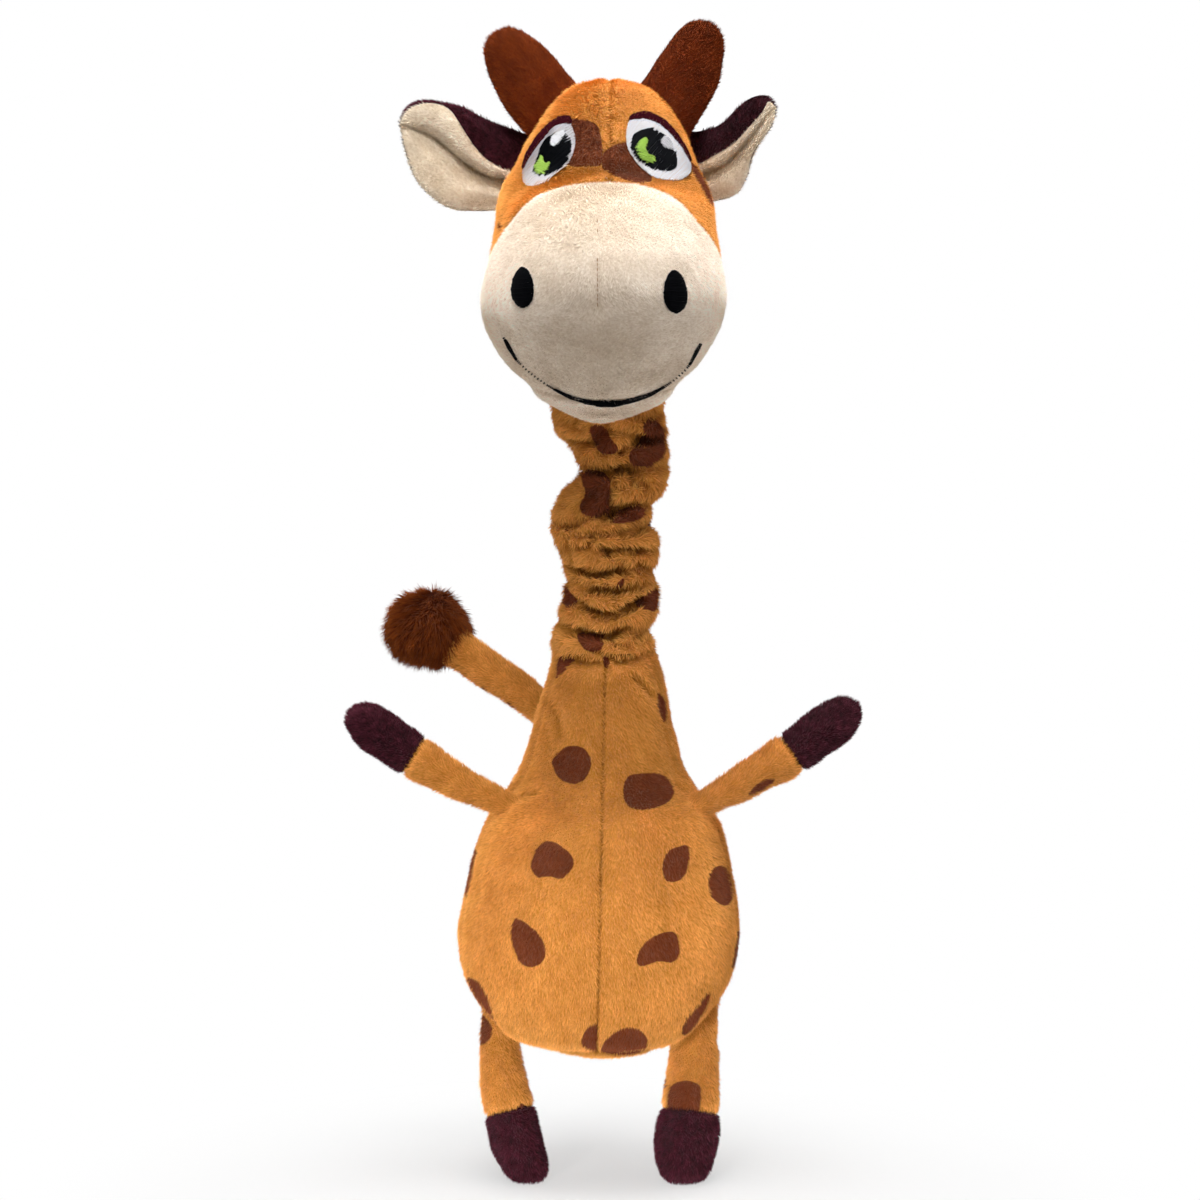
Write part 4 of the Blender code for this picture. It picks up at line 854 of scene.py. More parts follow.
BODY_PLACED = [(*on_body(turn, rise), egg(wide, high, lean, seed)) for turn, rise, wide, high, lean, seed in (
    (0.262, 0.0810, 0.0070, 0.0062, 0.3, 1), (0.742, 0.1070, 0.0060, 0.0080, -0.2, 2),
    (0.772, 0.1800, 0.0038, 0.0062, 0.1, 3), (0.245, 0.1640, 0.0035, 0.0055, -0.3, 4),
    (0.330, 0.1220, 0.0066, 0.0074, 0.5, 5), (0.345, 0.0700, 0.0078, 0.0064, -0.4, 6),
    (0.415, 0.1010, 0.0068, 0.0082, 0.2, 7), (0.430, 0.1440, 0.0056, 0.0060, 0.9, 8),
    (0.455, 0.0620, 0.0064, 0.0056, 0.0, 9), (0.560, 0.0760, 0.0080, 0.0068, 0.4, 10),
    (0.572, 0.1140, 0.0064, 0.0076, -0.5, 11), (0.560, 0.1600, 0.0046, 0.0060, 0.2, 12),
    (0.650, 0.0920, 0.0072, 0.0066, 0.7, 13), (0.655, 0.1330, 0.0058, 0.0070, -0.2, 14),
    (0.690, 0.0640, 0.0070, 0.0060, 0.1, 15), (0.375, 0.1630, 0.0044, 0.0056, 0.4, 16),
)]
print_spots(body_sheet, BODY_TRACED, BODY_PLACED)

# %% [markdown]
# A sewn body is cut from panels whose grain runs down, so the pile lies downward on all of them. The panels could
# be modelled one by one, but then their edges would have to be matched. Cutting them out of one finished sheet
# gives edges that meet exactly.

# %% Body panels
def body_nap(place):
    return Vector((0.25 * math.sin(place.z * 90), 0, -1))


BODY_PANELS = (
    ("body_front_right", lambda turn, row, middle: turn < 0.25 and row > base_row),
    ("body_back_right", lambda turn, row, middle: 0.25 < turn < 0.5 and row > base_row),
    ("body_back_left", lambda turn, row, middle: 0.5 < turn < 0.75 and row > base_row),
    ("body_front_left", lambda turn, row, middle: turn > 0.75 and row > base_row),
    ("base_panel", lambda turn, row, middle: row < base_row),
)
for solid, keep in BODY_PANELS:
    piece = finish_piece(f"plush_{solid}", panel_of(body_sheet, keep), orange_plush, nap=body_nap, pile=SHORT)
    follow(piece, "torso", "orange_plush", (solid,))
body_sheet.free()

# %% [markdown]
# ## Neck
#
# The neck is a sleeve gathered on an elastic, so it stands in deep, uneven folds that curl round a wavering
# line. Its left and right outlines were read from the photograph, and so was the height of each crease at
# five places across the front. The cloth between two creases swells, and it drops into a sharp valley at each.

# %% Neck shape
NECK_LOW = BODY_TOP - 0.003
NECK_TOP = 0.290
# The columns and the rows of the sleeve's cloth
NECK_ROUND = 140
NECK_STEPS = 156
# Height, left side and right side in millimetres
NECK_OUTLINE = (
    (178.0, -17.7, 17.8), (181.8, -16.9, 17.4), (186.6, -15.9, 17.1), (191.1, -15.2, 15.9), (194.9, -13.8, 17.9),
    (197.7, -13.8, 18.6), (200.8, -12.1, 19.2), (204.9, -12.1, 19.0), (207.7, -11.0, 17.9), (211.1, -12.1, 17.1),
    (214.6, -12.4, 18.6), (218.4, -13.8, 19.3), (223.2, -15.9, 18.3), (227.4, -16.4, 16.0), (230.8, -15.9, 16.6),
    (233.7, -14.8, 16.9), (238.7, -11.7, 20.9), (242.5, -7.7, 22.1), (245.6, -6.7, 22.3), (250.8, -8.1, 22.3),
    (255.0, -10.7, 22.1), (258.4, -13.8, 21.9), (263.9, -16.0, 21.0), (270.5, -16.0, 20.6), (292.0, -14.0, 17.0),
)
# Crease heights in millimetres from the left side over the front to the right side, then depth in millimetres
NECK_CREASES = (
    ((176.0, 176.5, 176.5, 176.5, 176.0), 2.0),
    ((182.6, 181.6, 180.4, 181.6, 182.6), 1.6), ((192.5, 189.8, 188.7, 189.8, 191.1), 3.4),
    ((197.8, 199.2, 194.9, 200.0, 200.4), 3.0), ((207.3, 204.9, 203.9, 206.3, 207.3), 3.0),
    ((212.9, 210.8, 210.1, 211.8, 211.5), 3.2), ((218.4, 219.3, 217.4, 217.0, 218.2), 2.6),
    ((223.4, 222.3, 222.9, 225.4, 226.6), 3.2), ((226.6, 226.2, 229.4, 234.2, 233.7), 3.4),
    ((245.0, 245.3, 244.6, 246.1, 248.0), 3.0), ((255.6, 255.2, 258.5, 255.4, 257.0), 3.2),
    ((262.0, 261.0, 265.0, 262.0, 264.6), 2.8), ((276.0, 275.0, 275.0, 275.0, 276.0), 2.8),
    ((285.0, 285.0, 285.0, 285.0, 285.0), 2.4), ((296.0, 296.0, 296.0, 296.0, 296.0), 2.0),
)
neck_outline = table_curve(NECK_OUTLINE)


def crease_heights(turn):
    """The height of every crease at one turn of the neck, in millimetres."""
    heights = []
    for at, (front, _) in enumerate(NECK_CREASES):
        mean = sum(front) / 5
        back = [mean + 2.4 * noise.noise(Vector((at * 1.7, step * 2.3, 5.1))) for step in range(3)]
        # From the picture's right side round the back to its left side, and on over the front
        around = [front[2], front[3], front[4], *back, front[0], front[1]]
        share = (turn % 1) * 8
        low = int(share)
        part = smooth_step(share - low)
        heights.append(around[low] * (1 - part) + around[(low + 1) % 8] * part)
    return sorted(heights)


NECK_COLUMNS = [step / NECK_ROUND for step in range(NECK_ROUND + 1)]
CREASES_AT = {turn: crease_heights(turn) for turn in NECK_COLUMNS}


def neck_place(turn, rise):
    """A place on the gathered sleeve, at one of its columns and a height in metres."""
    left, right = (value / 1000 for value in neck_outline(rise * 1000))
    # The sleeve starts on the body's top ring
    joined = 1 - smooth_step((rise - NECK_LOW) / 0.009)
    centre = (left + right) / 2 * (1 - joined) + body_centre(1) * joined
    half = (right - left) / 2 * (1 - joined) + BELLY_HALF * BODY_SHARES[-1][1] * joined
    angle = math.tau * turn
    heights = CREASES_AT[turn]
    at = int(np.clip(np.searchsorted(heights, rise * 1000) - 1, 0, len(heights) - 2))
    span = max(heights[at + 1] - heights[at], 0.4)
    share = min(max((rise * 1000 - heights[at]) / span, 0), 1)
    depth = 1.5 * (NECK_CREASES[at][1] * (1 - share) + NECK_CREASES[at + 1][1] * share) * min(1, span / 5)
    swell = 1 - abs(2 * share - 1) ** 2.4
    # Small sharp tucks lie where a slow noise changes its sign
    slow = noise.noise(Vector((math.cos(angle) * 1.5, math.sin(angle) * 1.5, rise / 0.0070)))
    line = max(0.0, 1 - abs(slow) / 0.16) ** 1.5 * 1.5
    wrinkle = noise.noise(Vector((math.cos(angle) * 3, math.sin(angle) * 3, rise / 0.0040))) * 0.7
    # The traced outline already holds the valleys at the two sides
    front = math.cos(angle) ** 2
    fold = depth * (1 - swell) * (0.12 + 0.88 * front) + (line - 0.9 * swell) * front
    if math.cos(angle) > 0:
        fold *= 0.70
    inward = (fold - wrinkle) * (1 - joined) / 1000
    # The foot of the sleeve goes down inside the body
    inward += 0.5 * max(0.0, BODY_TOP - rise)
    reach = half * (0.96 + 0.04 * joined)
    return Vector((
        centre + (half - inward) * math.sin(angle), AXIS_Y - (reach - inward) * math.cos(angle), rise,
    ))


neck_rows = [NECK_LOW + (NECK_TOP - NECK_LOW) * step / NECK_STEPS for step in range(NECK_STEPS + 1)]
neck_sheet = wrap_sheet(neck_place, NECK_COLUMNS, neck_rows)

tuck(neck_sheet, TUCKS)
shade_hollows(neck_sheet, rounds=24, full=0.0016)

# %% [markdown]
# The gathered sleeve hides parts of its spots in the folds, so the traced pieces of a spot end at the creases. The
# sleeve is one tube of cloth on the real toy. Here it is cut at five heights, because each length bends or
# stretches between two bodies, and the cuts lie in valleys where they don't show.

# %% Neck spots and sleeves
NECK_TRACED = (
    ((588, 424), (606, 425), (610, 438), (622, 451), (614, 454), (600, 455), (594, 441)),
    ((643, 421), (653, 418), (663, 427), (665, 454), (655, 462), (641, 468), (633, 464), (627, 455), (635, 447),
     (643, 437)),
    ((581, 470), (588, 469), (606, 472), (611, 482), (609, 494), (610, 511), (602, 517), (590, 518), (580, 511),
     (580, 502), (587, 496), (583, 482)),
    ((606, 522), (618, 511), (631, 505), (645, 507), (644, 516), (635, 521), (618, 524)),
    ((601, 547), (608, 553), (611, 558), (604, 555)),
    ((614, 588), (620, 580), (625, 577), (623, 586), (617, 594)),
    ((566, 582), (571, 594), (580, 601), (571, 608), (564, 607), (564, 592)),
    ((657, 585), (658, 602), (653, 613), (643, 608), (620, 611), (633, 602), (647, 594)),
    ((574, 631), (590, 633), (606, 635), (605, 642), (600, 651), (590, 653), (580, 645)),
    ((602, 655), (609, 657), (610, 667), (606, 670), (603, 663)),
)
NECK_PLACED = [
    (Vector((x, AXIS_Y + back, z)), Vector((nx, ny, 0)), egg(wide, high, 0.3, seed))
    for x, back, z, nx, ny, wide, high, seed in (
        (0.018, 0.006, 0.2250, 1.0, 0.4, 0.0050, 0.0070, 21), (0.008, 0.015, 0.2060, 0.4, 1.0, 0.0060, 0.0050, 22),
        (-0.004, 0.015, 0.2380, -0.2, 1.0, 0.0060, 0.0070, 23),
        (-0.013, 0.008, 0.2160, -1.0, 0.6, 0.0050, 0.0065, 24),
        (0.012, 0.013, 0.2560, 0.5, 1.0, 0.0055, 0.0070, 25), (-0.010, 0.012, 0.1930, -0.7, 1.0, 0.0055, 0.0050, 26),
    )
]
print_spots(neck_sheet, NECK_TRACED, NECK_PLACED)


def neck_nap(place):
    return Vector((math.sin(place.z * 260), 0.4, -0.8))


# The five lengths of the sleeve: lowest and highest height, and the two bodies that each one bends between
SLEEVES = (
    ("base", 0.1828, 0.2010, "torso", "neck_lower"), ("lower", 0.2010, 0.2192, "neck_lower", "neck_middle"),
    ("middle", 0.2192, 0.2465, "neck_middle", "neck_upper"), ("upper", 0.2465, 0.2556, "neck_upper", "head_base"),
    ("top", 0.2556, 0.2900, "head_base", "head"),
)
SLEEVE_PILE = dict(density=3.6, length=0.0022, width=0.00042, lean=1.0, clump=2.4)
row_step = neck_rows[1] - neck_rows[0]
for name, low, high, first, second in SLEEVES:
    starts = 0 if name == "base" else round((low - NECK_LOW) / row_step)
    ends = round((high - NECK_LOW) / row_step)
    sleeve = panel_of(neck_sheet, lambda turn, row, middle: starts < row < ends)
    piece = finish_piece(f"plush_neck_{name}", sleeve, orange_plush, nap=neck_nap, pile=SLEEVE_PILE)
    bend_with(piece, first, second, (0, AXIS_Y, low), (0, AXIS_Y, high), "orange_plush", (f"neck_sleeve_{name}",))
neck_sheet.free()

# %% [markdown]
# ## Head
#
# The head is four panels: two orange sides, a cream muzzle and a cream chin. Level rings whose width and depth
# change with their height give the round muzzle in front and the narrow skull behind it. The muzzle's seam
# leans back from the brow to the throat, and `bisect_plane` cuts rows of edges along it, so that the seam is
# sharp where the rings run across it.

# %% Head shape
CHIN = 0.2603
HEAD_HEIGHT = 0.1202
HEAD_HALF = 0.0796 / 2
MUZZLE_REACH = 0.087
HEAD_LEAN = 0.0028
# The pole of the chin, a little below the lowest ring
LOWEST = -0.0116
HEAD_SHARES = (
    (-0.009, 0.075, -0.545, -0.590, -0.500), (0.004, 0.190, -0.540, -0.630, -0.460),
    (0.018, 0.290, -0.540, -0.700, -0.380),
    (0.047, 0.460, -0.540, -0.755, -0.250), (0.101, 0.620, -0.540, -0.830, -0.110),
    (0.155, 0.785, -0.535, -0.885, 0.005), (0.209, 0.897, -0.525, -0.930, 0.100),
    (0.265, 0.975, -0.515, -0.970, 0.185), (0.320, 1.000, -0.500, -0.985, 0.253),
    (0.379, 0.980, -0.465, -0.970, 0.305), (0.441, 0.947, -0.405, -0.920, 0.345),
    (0.508, 0.912, -0.320, -0.825, 0.380), (0.560, 0.905, -0.230, -0.725, 0.400),
    (0.605, 0.903, -0.155, -0.600, 0.410), (0.640, 0.890, -0.100, -0.475, 0.414),
    (0.675, 0.865, -0.060, -0.400, 0.414), (0.740, 0.774, -0.030, -0.360, 0.400),
    (0.839, 0.648, 0.000, -0.285, 0.356), (0.928, 0.467, 0.020, -0.185, 0.276),
    (0.975, 0.290, 0.030, -0.100, 0.184), (0.996, 0.120, 0.035, -0.020, 0.090),
)
head_ring = table_curve(HEAD_SHARES)


def head_place(turn, share):
    """A place on the head, whose first and last rings close to a point."""
    if share in (LOWEST, 1):
        wide, middle, front, back = (0.0, -0.545, -0.545, -0.545) if share == LOWEST else (0.0, 0.035, 0.035, 0.035)
    else:
        wide, middle, front, back = head_ring(share)
    angle = math.tau * turn
    depth = (middle - front) if math.cos(angle) > 0 else (back - middle)
    return Vector((
        HEAD_LEAN * share + HEAD_HALF * wide * math.sin(angle),
        AXIS_Y + MUZZLE_REACH * (middle - depth * math.cos(angle)),
        CHIN + HEAD_HEIGHT * share,
    ))


def head_point(depth_share, rise_share):
    """A place in the head's middle plane, by the same shares as the rings."""
    return Vector((0, AXIS_Y + MUZZLE_REACH * depth_share, CHIN + HEAD_HEIGHT * rise_share))


def seam_plane(front, back):
    """A place and a direction square to the seam that runs between two places seen from the side."""
    start, end = head_point(*front), head_point(*back)
    return start, Vector((1, 0, 0)).cross(end - start).normalized()


MUZZLE_SEAM = seam_plane((-0.448, 0.638), (-0.172, 0.017))
CHIN_SEAM = seam_plane((-0.851, -0.006), (-0.172, 0.185))
muzzle_plane = plane_distance(*MUZZLE_SEAM)
chin_side = plane_distance(*CHIN_SEAM)


def shoulder(place):
    """How much further forward the muzzle's seam runs at its two upper shoulders than at its middle."""
    return min(13 * place.x ** 2, 0.016) * smooth_step((place.z - 0.310) / 0.016)


def muzzle_side(place):
    return muzzle_plane(place + Vector((0, shoulder(place), 0)))


head_rows = [LOWEST, LOWEST + 0.003, LOWEST + 0.008, *(0.004 + 0.992 * (step / 88) for step in range(89)), 0.999, 1]
head_sheet = wrap_sheet(head_place, crowded(144, 2, 0.75), head_rows)
# The shoulders are pulled straight while the seams are cut, with rows of edges this far apart
SEAM_ROW = 0.0011
for vert in head_sheet.verts:
    vert.co.y += shoulder(vert.co)
for point, normal in (MUZZLE_SEAM, CHIN_SEAM):
    if normal is CHIN_SEAM[1]:
        for vert in head_sheet.verts:
            vert.co.y -= shoulder(vert.co)
    for offset in (-2 * SEAM_ROW, -SEAM_ROW, 0, SEAM_ROW, 2 * SEAM_ROW):
        bmesh.ops.bisect_plane(
            head_sheet, geom=head_sheet.verts[:] + head_sheet.edges[:] + head_sheet.faces[:], dist=0.00002,
            plane_co=point + normal * offset, plane_no=normal,
        )
uneven(head_sheet, 0.0010, 0.026, 3)
uneven(head_sheet, 0.0004, 0.009, 4)


def forehead_seam(place):
    return place.x - HEAD_LEAN if muzzle_side(place) > 0 or place.z > 0.355 else 1.0


def chin_seam(place):
    return chin_side(place) if muzzle_side(place) < 0.001 else 1.0


pinch(head_sheet, muzzle_side, 0.0014, 0.0013)
pinch(head_sheet, chin_seam, 0.0008, 0.0013)
pinch(head_sheet, forehead_seam, 0.0009, 0.0014)
tuck(head_sheet, (
    (0.40, 7.0, ((597, 262), (598, 285), (598, 306))),
    (0.25, 5.0, ((597, 219), (597, 223))),
    (0.25, 5.0, ((598, 229), (598, 233))),
))
shade_hollows(head_sheet, seams=((muzzle_side, 0.25), (chin_seam, 0.25), (forehead_seam, 0.25)))
FACE_TRACED = (
    ((560, 119), (573, 119), (597, 122), (601, 136), (603, 151), (603, 166), (590, 167), (560, 167)),
    ((603, 151), (625, 140), (645, 150), (653, 183), (649, 184), (633, 183), (601, 171), (602, 160)),
    ((690, 161), (703, 180), (714, 208), (709, 207), (697, 183), (686, 165)),
    ((499, 222), (503, 222), (503, 232), (500, 231)),
)
print_spots(head_sheet, FACE_TRACED, [
    (Vector((0.012, AXIS_Y + 0.034, 0.345)), Vector((0.3, 1, 0.1)), egg(0.008, 0.009, 0.3, 31)),
    (Vector((-0.016, AXIS_Y + 0.033, 0.322)), Vector((-0.4, 1, 0)), egg(0.007, 0.010, -0.4, 32)),
    (Vector((0.022, AXIS_Y + 0.024, 0.305)), Vector((0.8, 1, -0.2)), egg(0.008, 0.006, 0.2, 33)),
    (Vector((-0.008, AXIS_Y + 0.026, 0.366)), Vector((-0.3, 1, 0.8)), egg(0.006, 0.005, 0.2, 34)),
    (Vector((0.035, AXIS_Y + 0.010, 0.322)), Vector((1, 0.2, 0)), egg(0.006, 0.008, 0.0, 35)),
    (Vector((-0.034, AXIS_Y + 0.012, 0.342)), Vector((-1, 0.2, 0)), egg(0.006, 0.006, 0.6, 36)),
])
head_sheet.normal_update()
head_tree = BVHTree.FromBMesh(head_sheet)
print("head sheet:", len(head_sheet.verts), "crossings")


def seen_on_head(across, down, lift=0.0):
    """The place on the head that a pixel of the photograph shows, lifted along its outward direction."""
    place, normal, _, _ = head_tree.ray_cast(VIEW_PLACE, sight(across, down))
    if place is None:
        near = seen_on_plane(across, down, Vector((0, AXIS_Y - 0.03, 0)), Vector((0, 1, 0)))
        place, normal, _, _ = head_tree.find_nearest(near)
    return place + normal * lift


# %% [markdown]
# ## Embroidered face
#
# The eyes, lids, nostrils and smile are machine embroidery: parallel satin stitches that cross a shape from
# edge to edge. Each stitch here is a thread of its own. `satin` cuts a traced outline with parallel lines,
# lays a thread along each cut over the head, and dips its two ends into the cloth.

# %% Satin stitches
THREAD_WIDE = 0.00046
NOSE_THREAD_WIDE = 0.00022


def thread_curve(name, width):
    """An empty curve whose lines become threads of one width."""
    curve = bpy.data.curves.new(name, "CURVE")
    curve.dimensions = "3D"
    curve.bevel_depth = width / 2
    curve.bevel_resolution = 0
    curve.use_fill_caps = True
    return curve


def lay_thread(curve, places):
    """Adds one thread that runs through the places."""
    spline = curve.splines.new("POLY")
    spline.points.add(len(places) - 1)
    for point, place in zip(spline.points, places):
        point.co = (*place, 1)


def sew(curve, material, slot, nodes=()):
    """Makes a piece of the curve's threads that rides on the head."""
    curve.materials.append(material)
    holder = bpy.data.objects.new(curve.name + "_path", curve)
    GATHERED.objects.link(holder)
    bpy.context.view_layer.update()
    mesh = bpy.data.meshes.new_from_object(holder.evaluated_get(bpy.context.evaluated_depsgraph_get()))
    bpy.data.objects.remove(holder)
    mesh.name = curve.name
    mesh.shade_smooth()
    piece = bpy.data.objects.new(curve.name, mesh)
    GATHERED.objects.link(piece)
    follow(piece, "head", slot, nodes)
    print(curve.name, "threads:", len(curve.splines))


def satin(name, outline, degrees, material, lift, step=1.15, ragged=0.8, slot="black_thread", nodes=()):
    """Fills an outline, traced in pixels, with parallel threads that follow the head.

    The threads lie a step apart, end unevenly by up to the ragged length, both in pixels, and stand out by the lift.
    """
    outline = rounded(outline)
    angle = math.radians(degrees)
    along = Vector((math.cos(angle), math.sin(angle)))
    side = Vector((-along.y, along.x))
    spread = outline @ np.array(side)
    curve = thread_curve(name, THREAD_WIDE)
    for line in range(int((spread.max() - spread.min()) / step) + 1):
        level = spread.min() + (line + 0.5) * step
        cuts = []
        for start, end in zip(outline, np.roll(outline, -1, axis=0)):
            low, high = start @ np.array(side) - level, end @ np.array(side) - level
            if low * high < 0:
                cuts.append(float((start + (end - start) * low / (low - high)) @ np.array(along)))
        cuts.sort()
        for first, last in zip(cuts[::2], cuts[1::2]):
            first -= ragged * noise.noise(Vector((line * 0.9, 1.3, 0.2))) + 0.3
            last += ragged * noise.noise(Vector((line * 0.9, 7.7, 0.9))) + 0.3
            count = max(3, min(9, round((last - first) / 5) + 2))
            waver = 0.00012 * noise.noise(Vector((line * 3.7, 0.5, 0.5)))
            places = []
            for share in (at / (count - 1) for at in range(count)):
                spot = along * (first + (last - first) * share) + side * level
                # The two ends dip into the cloth
                ends = min(share, 1 - share) * (last - first) * PIXEL
                height = lift + min(ends, 0.0008) * 0.6 - 0.0002 + waver
                places.append(seen_on_head(spot.x, spot.y, height))
            lay_thread(curve, places)
    sew(curve, material, slot, nodes)


# %% [markdown]
# An embroidered eye is built in layers: white first, then the dark iris, the green crescent, the glint and the lid.
# A flat picture on the head would lack their thickness and their ragged edges. Each layer is sewn a little higher
# than the one below it, as the machine does.

# %% Eyes and nostrils
EYE_WHITES = {
    "left": ((571, 124), (575, 135), (576, 145), (573, 156), (568, 167), (559, 175), (550, 182), (540, 186),
             (530, 188), (525, 184), (523, 178), (524, 170), (530, 160), (537, 150), (545, 140), (555, 129),
             (564, 124)),
    "right": ((628, 122), (636, 120), (646, 119), (656, 122), (666, 129), (676, 140), (684, 152), (689, 163),
              (690, 172), (684, 179), (677, 182), (664, 181), (654, 179), (644, 172), (636, 163), (628, 151),
              (626, 143), (626, 132)),
}
IRISES = {
    "left": ((565, 133), (569, 138), (572, 144), (572, 151), (570, 159), (567, 166), (559, 173), (552, 177),
             (544, 179), (537, 177), (534, 173), (535, 168), (539, 161), (541, 152), (546, 143), (552, 138),
             (559, 134)),
    "right": ((647, 129), (656, 132), (664, 139), (670, 147), (675, 155), (675, 164), (673, 171), (664, 175),
              (653, 172), (642, 165), (633, 155), (630, 148), (630, 140), (636, 133)),
}
GREENS = {
    "left": ((543, 157), (546, 159), (547, 163), (548, 166), (551, 163), (553, 164), (552, 170), (548, 175),
             (543, 178), (538, 176), (536, 171), (538, 166), (541, 162)),
    "right": ((637, 143), (642, 140), (647, 142), (646, 148), (645, 153), (648, 157), (655, 159), (654, 165),
              (647, 165), (640, 161), (635, 154), (634, 148)),
}
GLINTS = {
    "left": ((552, 142), (555, 137), (561, 134), (567, 133), (565, 140), (561, 146), (557, 149), (552, 148)),
    "right": ((656, 141), (661, 138), (666, 140), (671, 147), (670, 153), (664, 152), (658, 147)),
}
LIDS = {
    "left": ((572, 118), (565, 117), (557, 119), (549, 126), (541, 134), (533, 145), (527, 156), (523, 169),
             (526, 170), (531, 160), (538, 150), (546, 140), (555, 131), (565, 126), (573, 125)),
    "right": ((627, 123), (629, 118), (634, 115), (642, 112), (653, 115), (665, 122), (676, 135), (685, 148),
              (690, 162), (687, 163), (681, 151), (673, 141), (665, 132), (656, 125), (646, 122), (636, 122)),
}
NOSTRILS = {
    "left": ((524, 267), (531, 273), (535, 287), (533, 302), (526, 308), (519, 306), (513, 297), (513, 283),
             (518, 272)),
    "right": ((673, 270), (681, 276), (686, 291), (685, 306), (677, 313), (669, 311), (663, 301), (663, 286),
              (667, 275)),
}
# The directions of the stitches were read from the photograph, in degrees
for side, lean, lid_lean in (("left", -40, 70), ("right", 128, 110)):
    eye = f"eye_{side}"
    satin(f"{eye}_white_satin", EYE_WHITES[side], lean, white_thread, 0.0008, slot="white_thread",
          nodes=(f"{eye}_white",))
    satin(f"{eye}_iris_satin", IRISES[side], lean, black_thread, 0.0012, step=0.9, ragged=2.6,
          nodes=(f"{eye}_iris",))
    satin(f"{eye}_green_satin", GREENS[side], 20, green_thread, 0.0015, ragged=1.2)
    satin(f"{eye}_glint_satin", GLINTS[side], 40, white_thread, 0.0015, slot="white_thread", ragged=0.4)
    satin(f"{eye}_lid_satin", LIDS[side], lid_lean, lid_thread, 0.0009, slot="plum_plush")
    satin(f"nostril_{side}_satin", NOSTRILS[side], 0, black_thread, 0.0008, nodes=(f"nostril_{side}",))

# %% [markdown]
# The smile is a satin line whose stitches cross it at a slant, thick in the middle and at both ends and thin
# between. A swept tube would look moulded. Single stitches along the traced line give the wavering width, and
# where it thins out, some of them are left out.

# %% Smile
SMILE = (
    (505, 337), (510, 347), (517, 358), (526, 367), (537, 376), (548, 384), (560, 391), (572, 397), (585, 401),
    (600, 403), (613, 403), (626, 401), (638, 398), (651, 393), (663, 386), (674, 378), (683, 370), (689, 363),
    (694, 354), (700, 342),
)
# The smile's width in pixels by the share of its length
SMILE_WIDE = (
    (0, 1.0), (0.03, 3.0), (0.10, 1.6), (0.16, 0.4), (0.26, 0.9), (0.36, 3.2), (0.46, 5.4), (0.60, 5.4), (0.70, 3.2),
    (0.80, 0.9), (0.87, 0.8), (0.93, 2.4), (0.98, 3.0), (1, 1.0),
)
SMILE_STEP = 0.95
smile_wide = table_curve(SMILE_WIDE)
smile_line, smile_lengths = lengths_along(SMILE)
smile_length = smile_lengths[-1]
smile = thread_curve("smile_satin", THREAD_WIDE)
count = int(smile_length / SMILE_STEP)
for stitch in range(count):
    along = smile_length * (stitch + 0.5) / count
    here, ahead, back = (
        at_length(smile_line, smile_lengths, at) for at in (along, min(along + 2, smile_length), max(along - 2, 0))
    )
    heading = (ahead - back) / np.linalg.norm(ahead - back)
    across = np.array([-heading[1], heading[0]]) + heading * 0.35
    uneven_width = 1 + 0.15 * noise.noise(Vector((stitch * 0.8, 0, 0)))
    half = float(smile_wide(along / smile_length)[0]) / 2 * uneven_width
    # Where the line thins out only a stitch here and there shows through the pile
    if half < 0.5 and stitch % 4 or half < 0.8 and stitch % 2:
        continue
    lay_thread(smile, [
        seen_on_head(*(here + across * half * share), 0.0004 + 0.0005 * (1 - abs(share))) for share in (-1, 0, 1)
    ])
sew(smile, black_thread, "black_thread", ("mouth_line",))

# %% [markdown]
# A short row of running stitches closes the seam on the nose, in a thread near the colour of the cloth. Only small
# dents and dots of it show. Each stitch is one thin thread that rises a little at its middle.

# %% Nose stitches
NOSE_ACROSS = 597.4
nose = thread_curve("nose_stitches", NOSE_THREAD_WIDE)
for down in (219, 229, *range(258, 308, 5)):
    lay_thread(nose, [
        seen_on_head(NOSE_ACROSS + 0.3 * share, down + 3.6 * share, 0.0001 + 0.0003 * (1 - abs(2 * share - 1)))
        for share in (0, 0.5, 1)
    ])
sew(nose, seam_thread, "cream_plush")

# %% [markdown]
# The pile is shaved away under embroidery, or it would grow through the stitches. The cover of the pile is set to
# nothing there, and the four panels are then cut from the one sheet. Their fur is combed down and back from the
# nose, as the photograph shows.

# %% Head panels
def keep_bare(sheet, outlines, line, line_gap):
    """Leaves the cloth bare under the embroidery, inside the outlines and along one line of pixels."""
    cover = sheet.verts.layers.float["pile"]
    verts = list(sheet.verts)
    seen, facing = pixels_of(np.array([v.co for v in verts]), np.array([v.normal for v in verts]))
    closest = np.max([inside_distance(seen, outline) for outline in outlines], axis=0)
    line_away = np.min(np.linalg.norm(seen[:, None] - np.array(line, float)[None], axis=2), axis=1)
    bare = ((closest > 0.3) | (line_away < line_gap)) & (facing > 0)
    for vert, hidden in zip(verts, bare):
        if hidden:
            vert[cover] = 0.0


head_sheet.normal_update()
stitched = [rounded(outline) for group in (EYE_WHITES, NOSTRILS, LIDS) for outline in group.values()]
keep_bare(head_sheet, stitched, SMILE, 3.0)


def head_nap(place):
    return Vector((place.x * 12, -0.2, -0.35 - (place.z - 0.33) * 6))


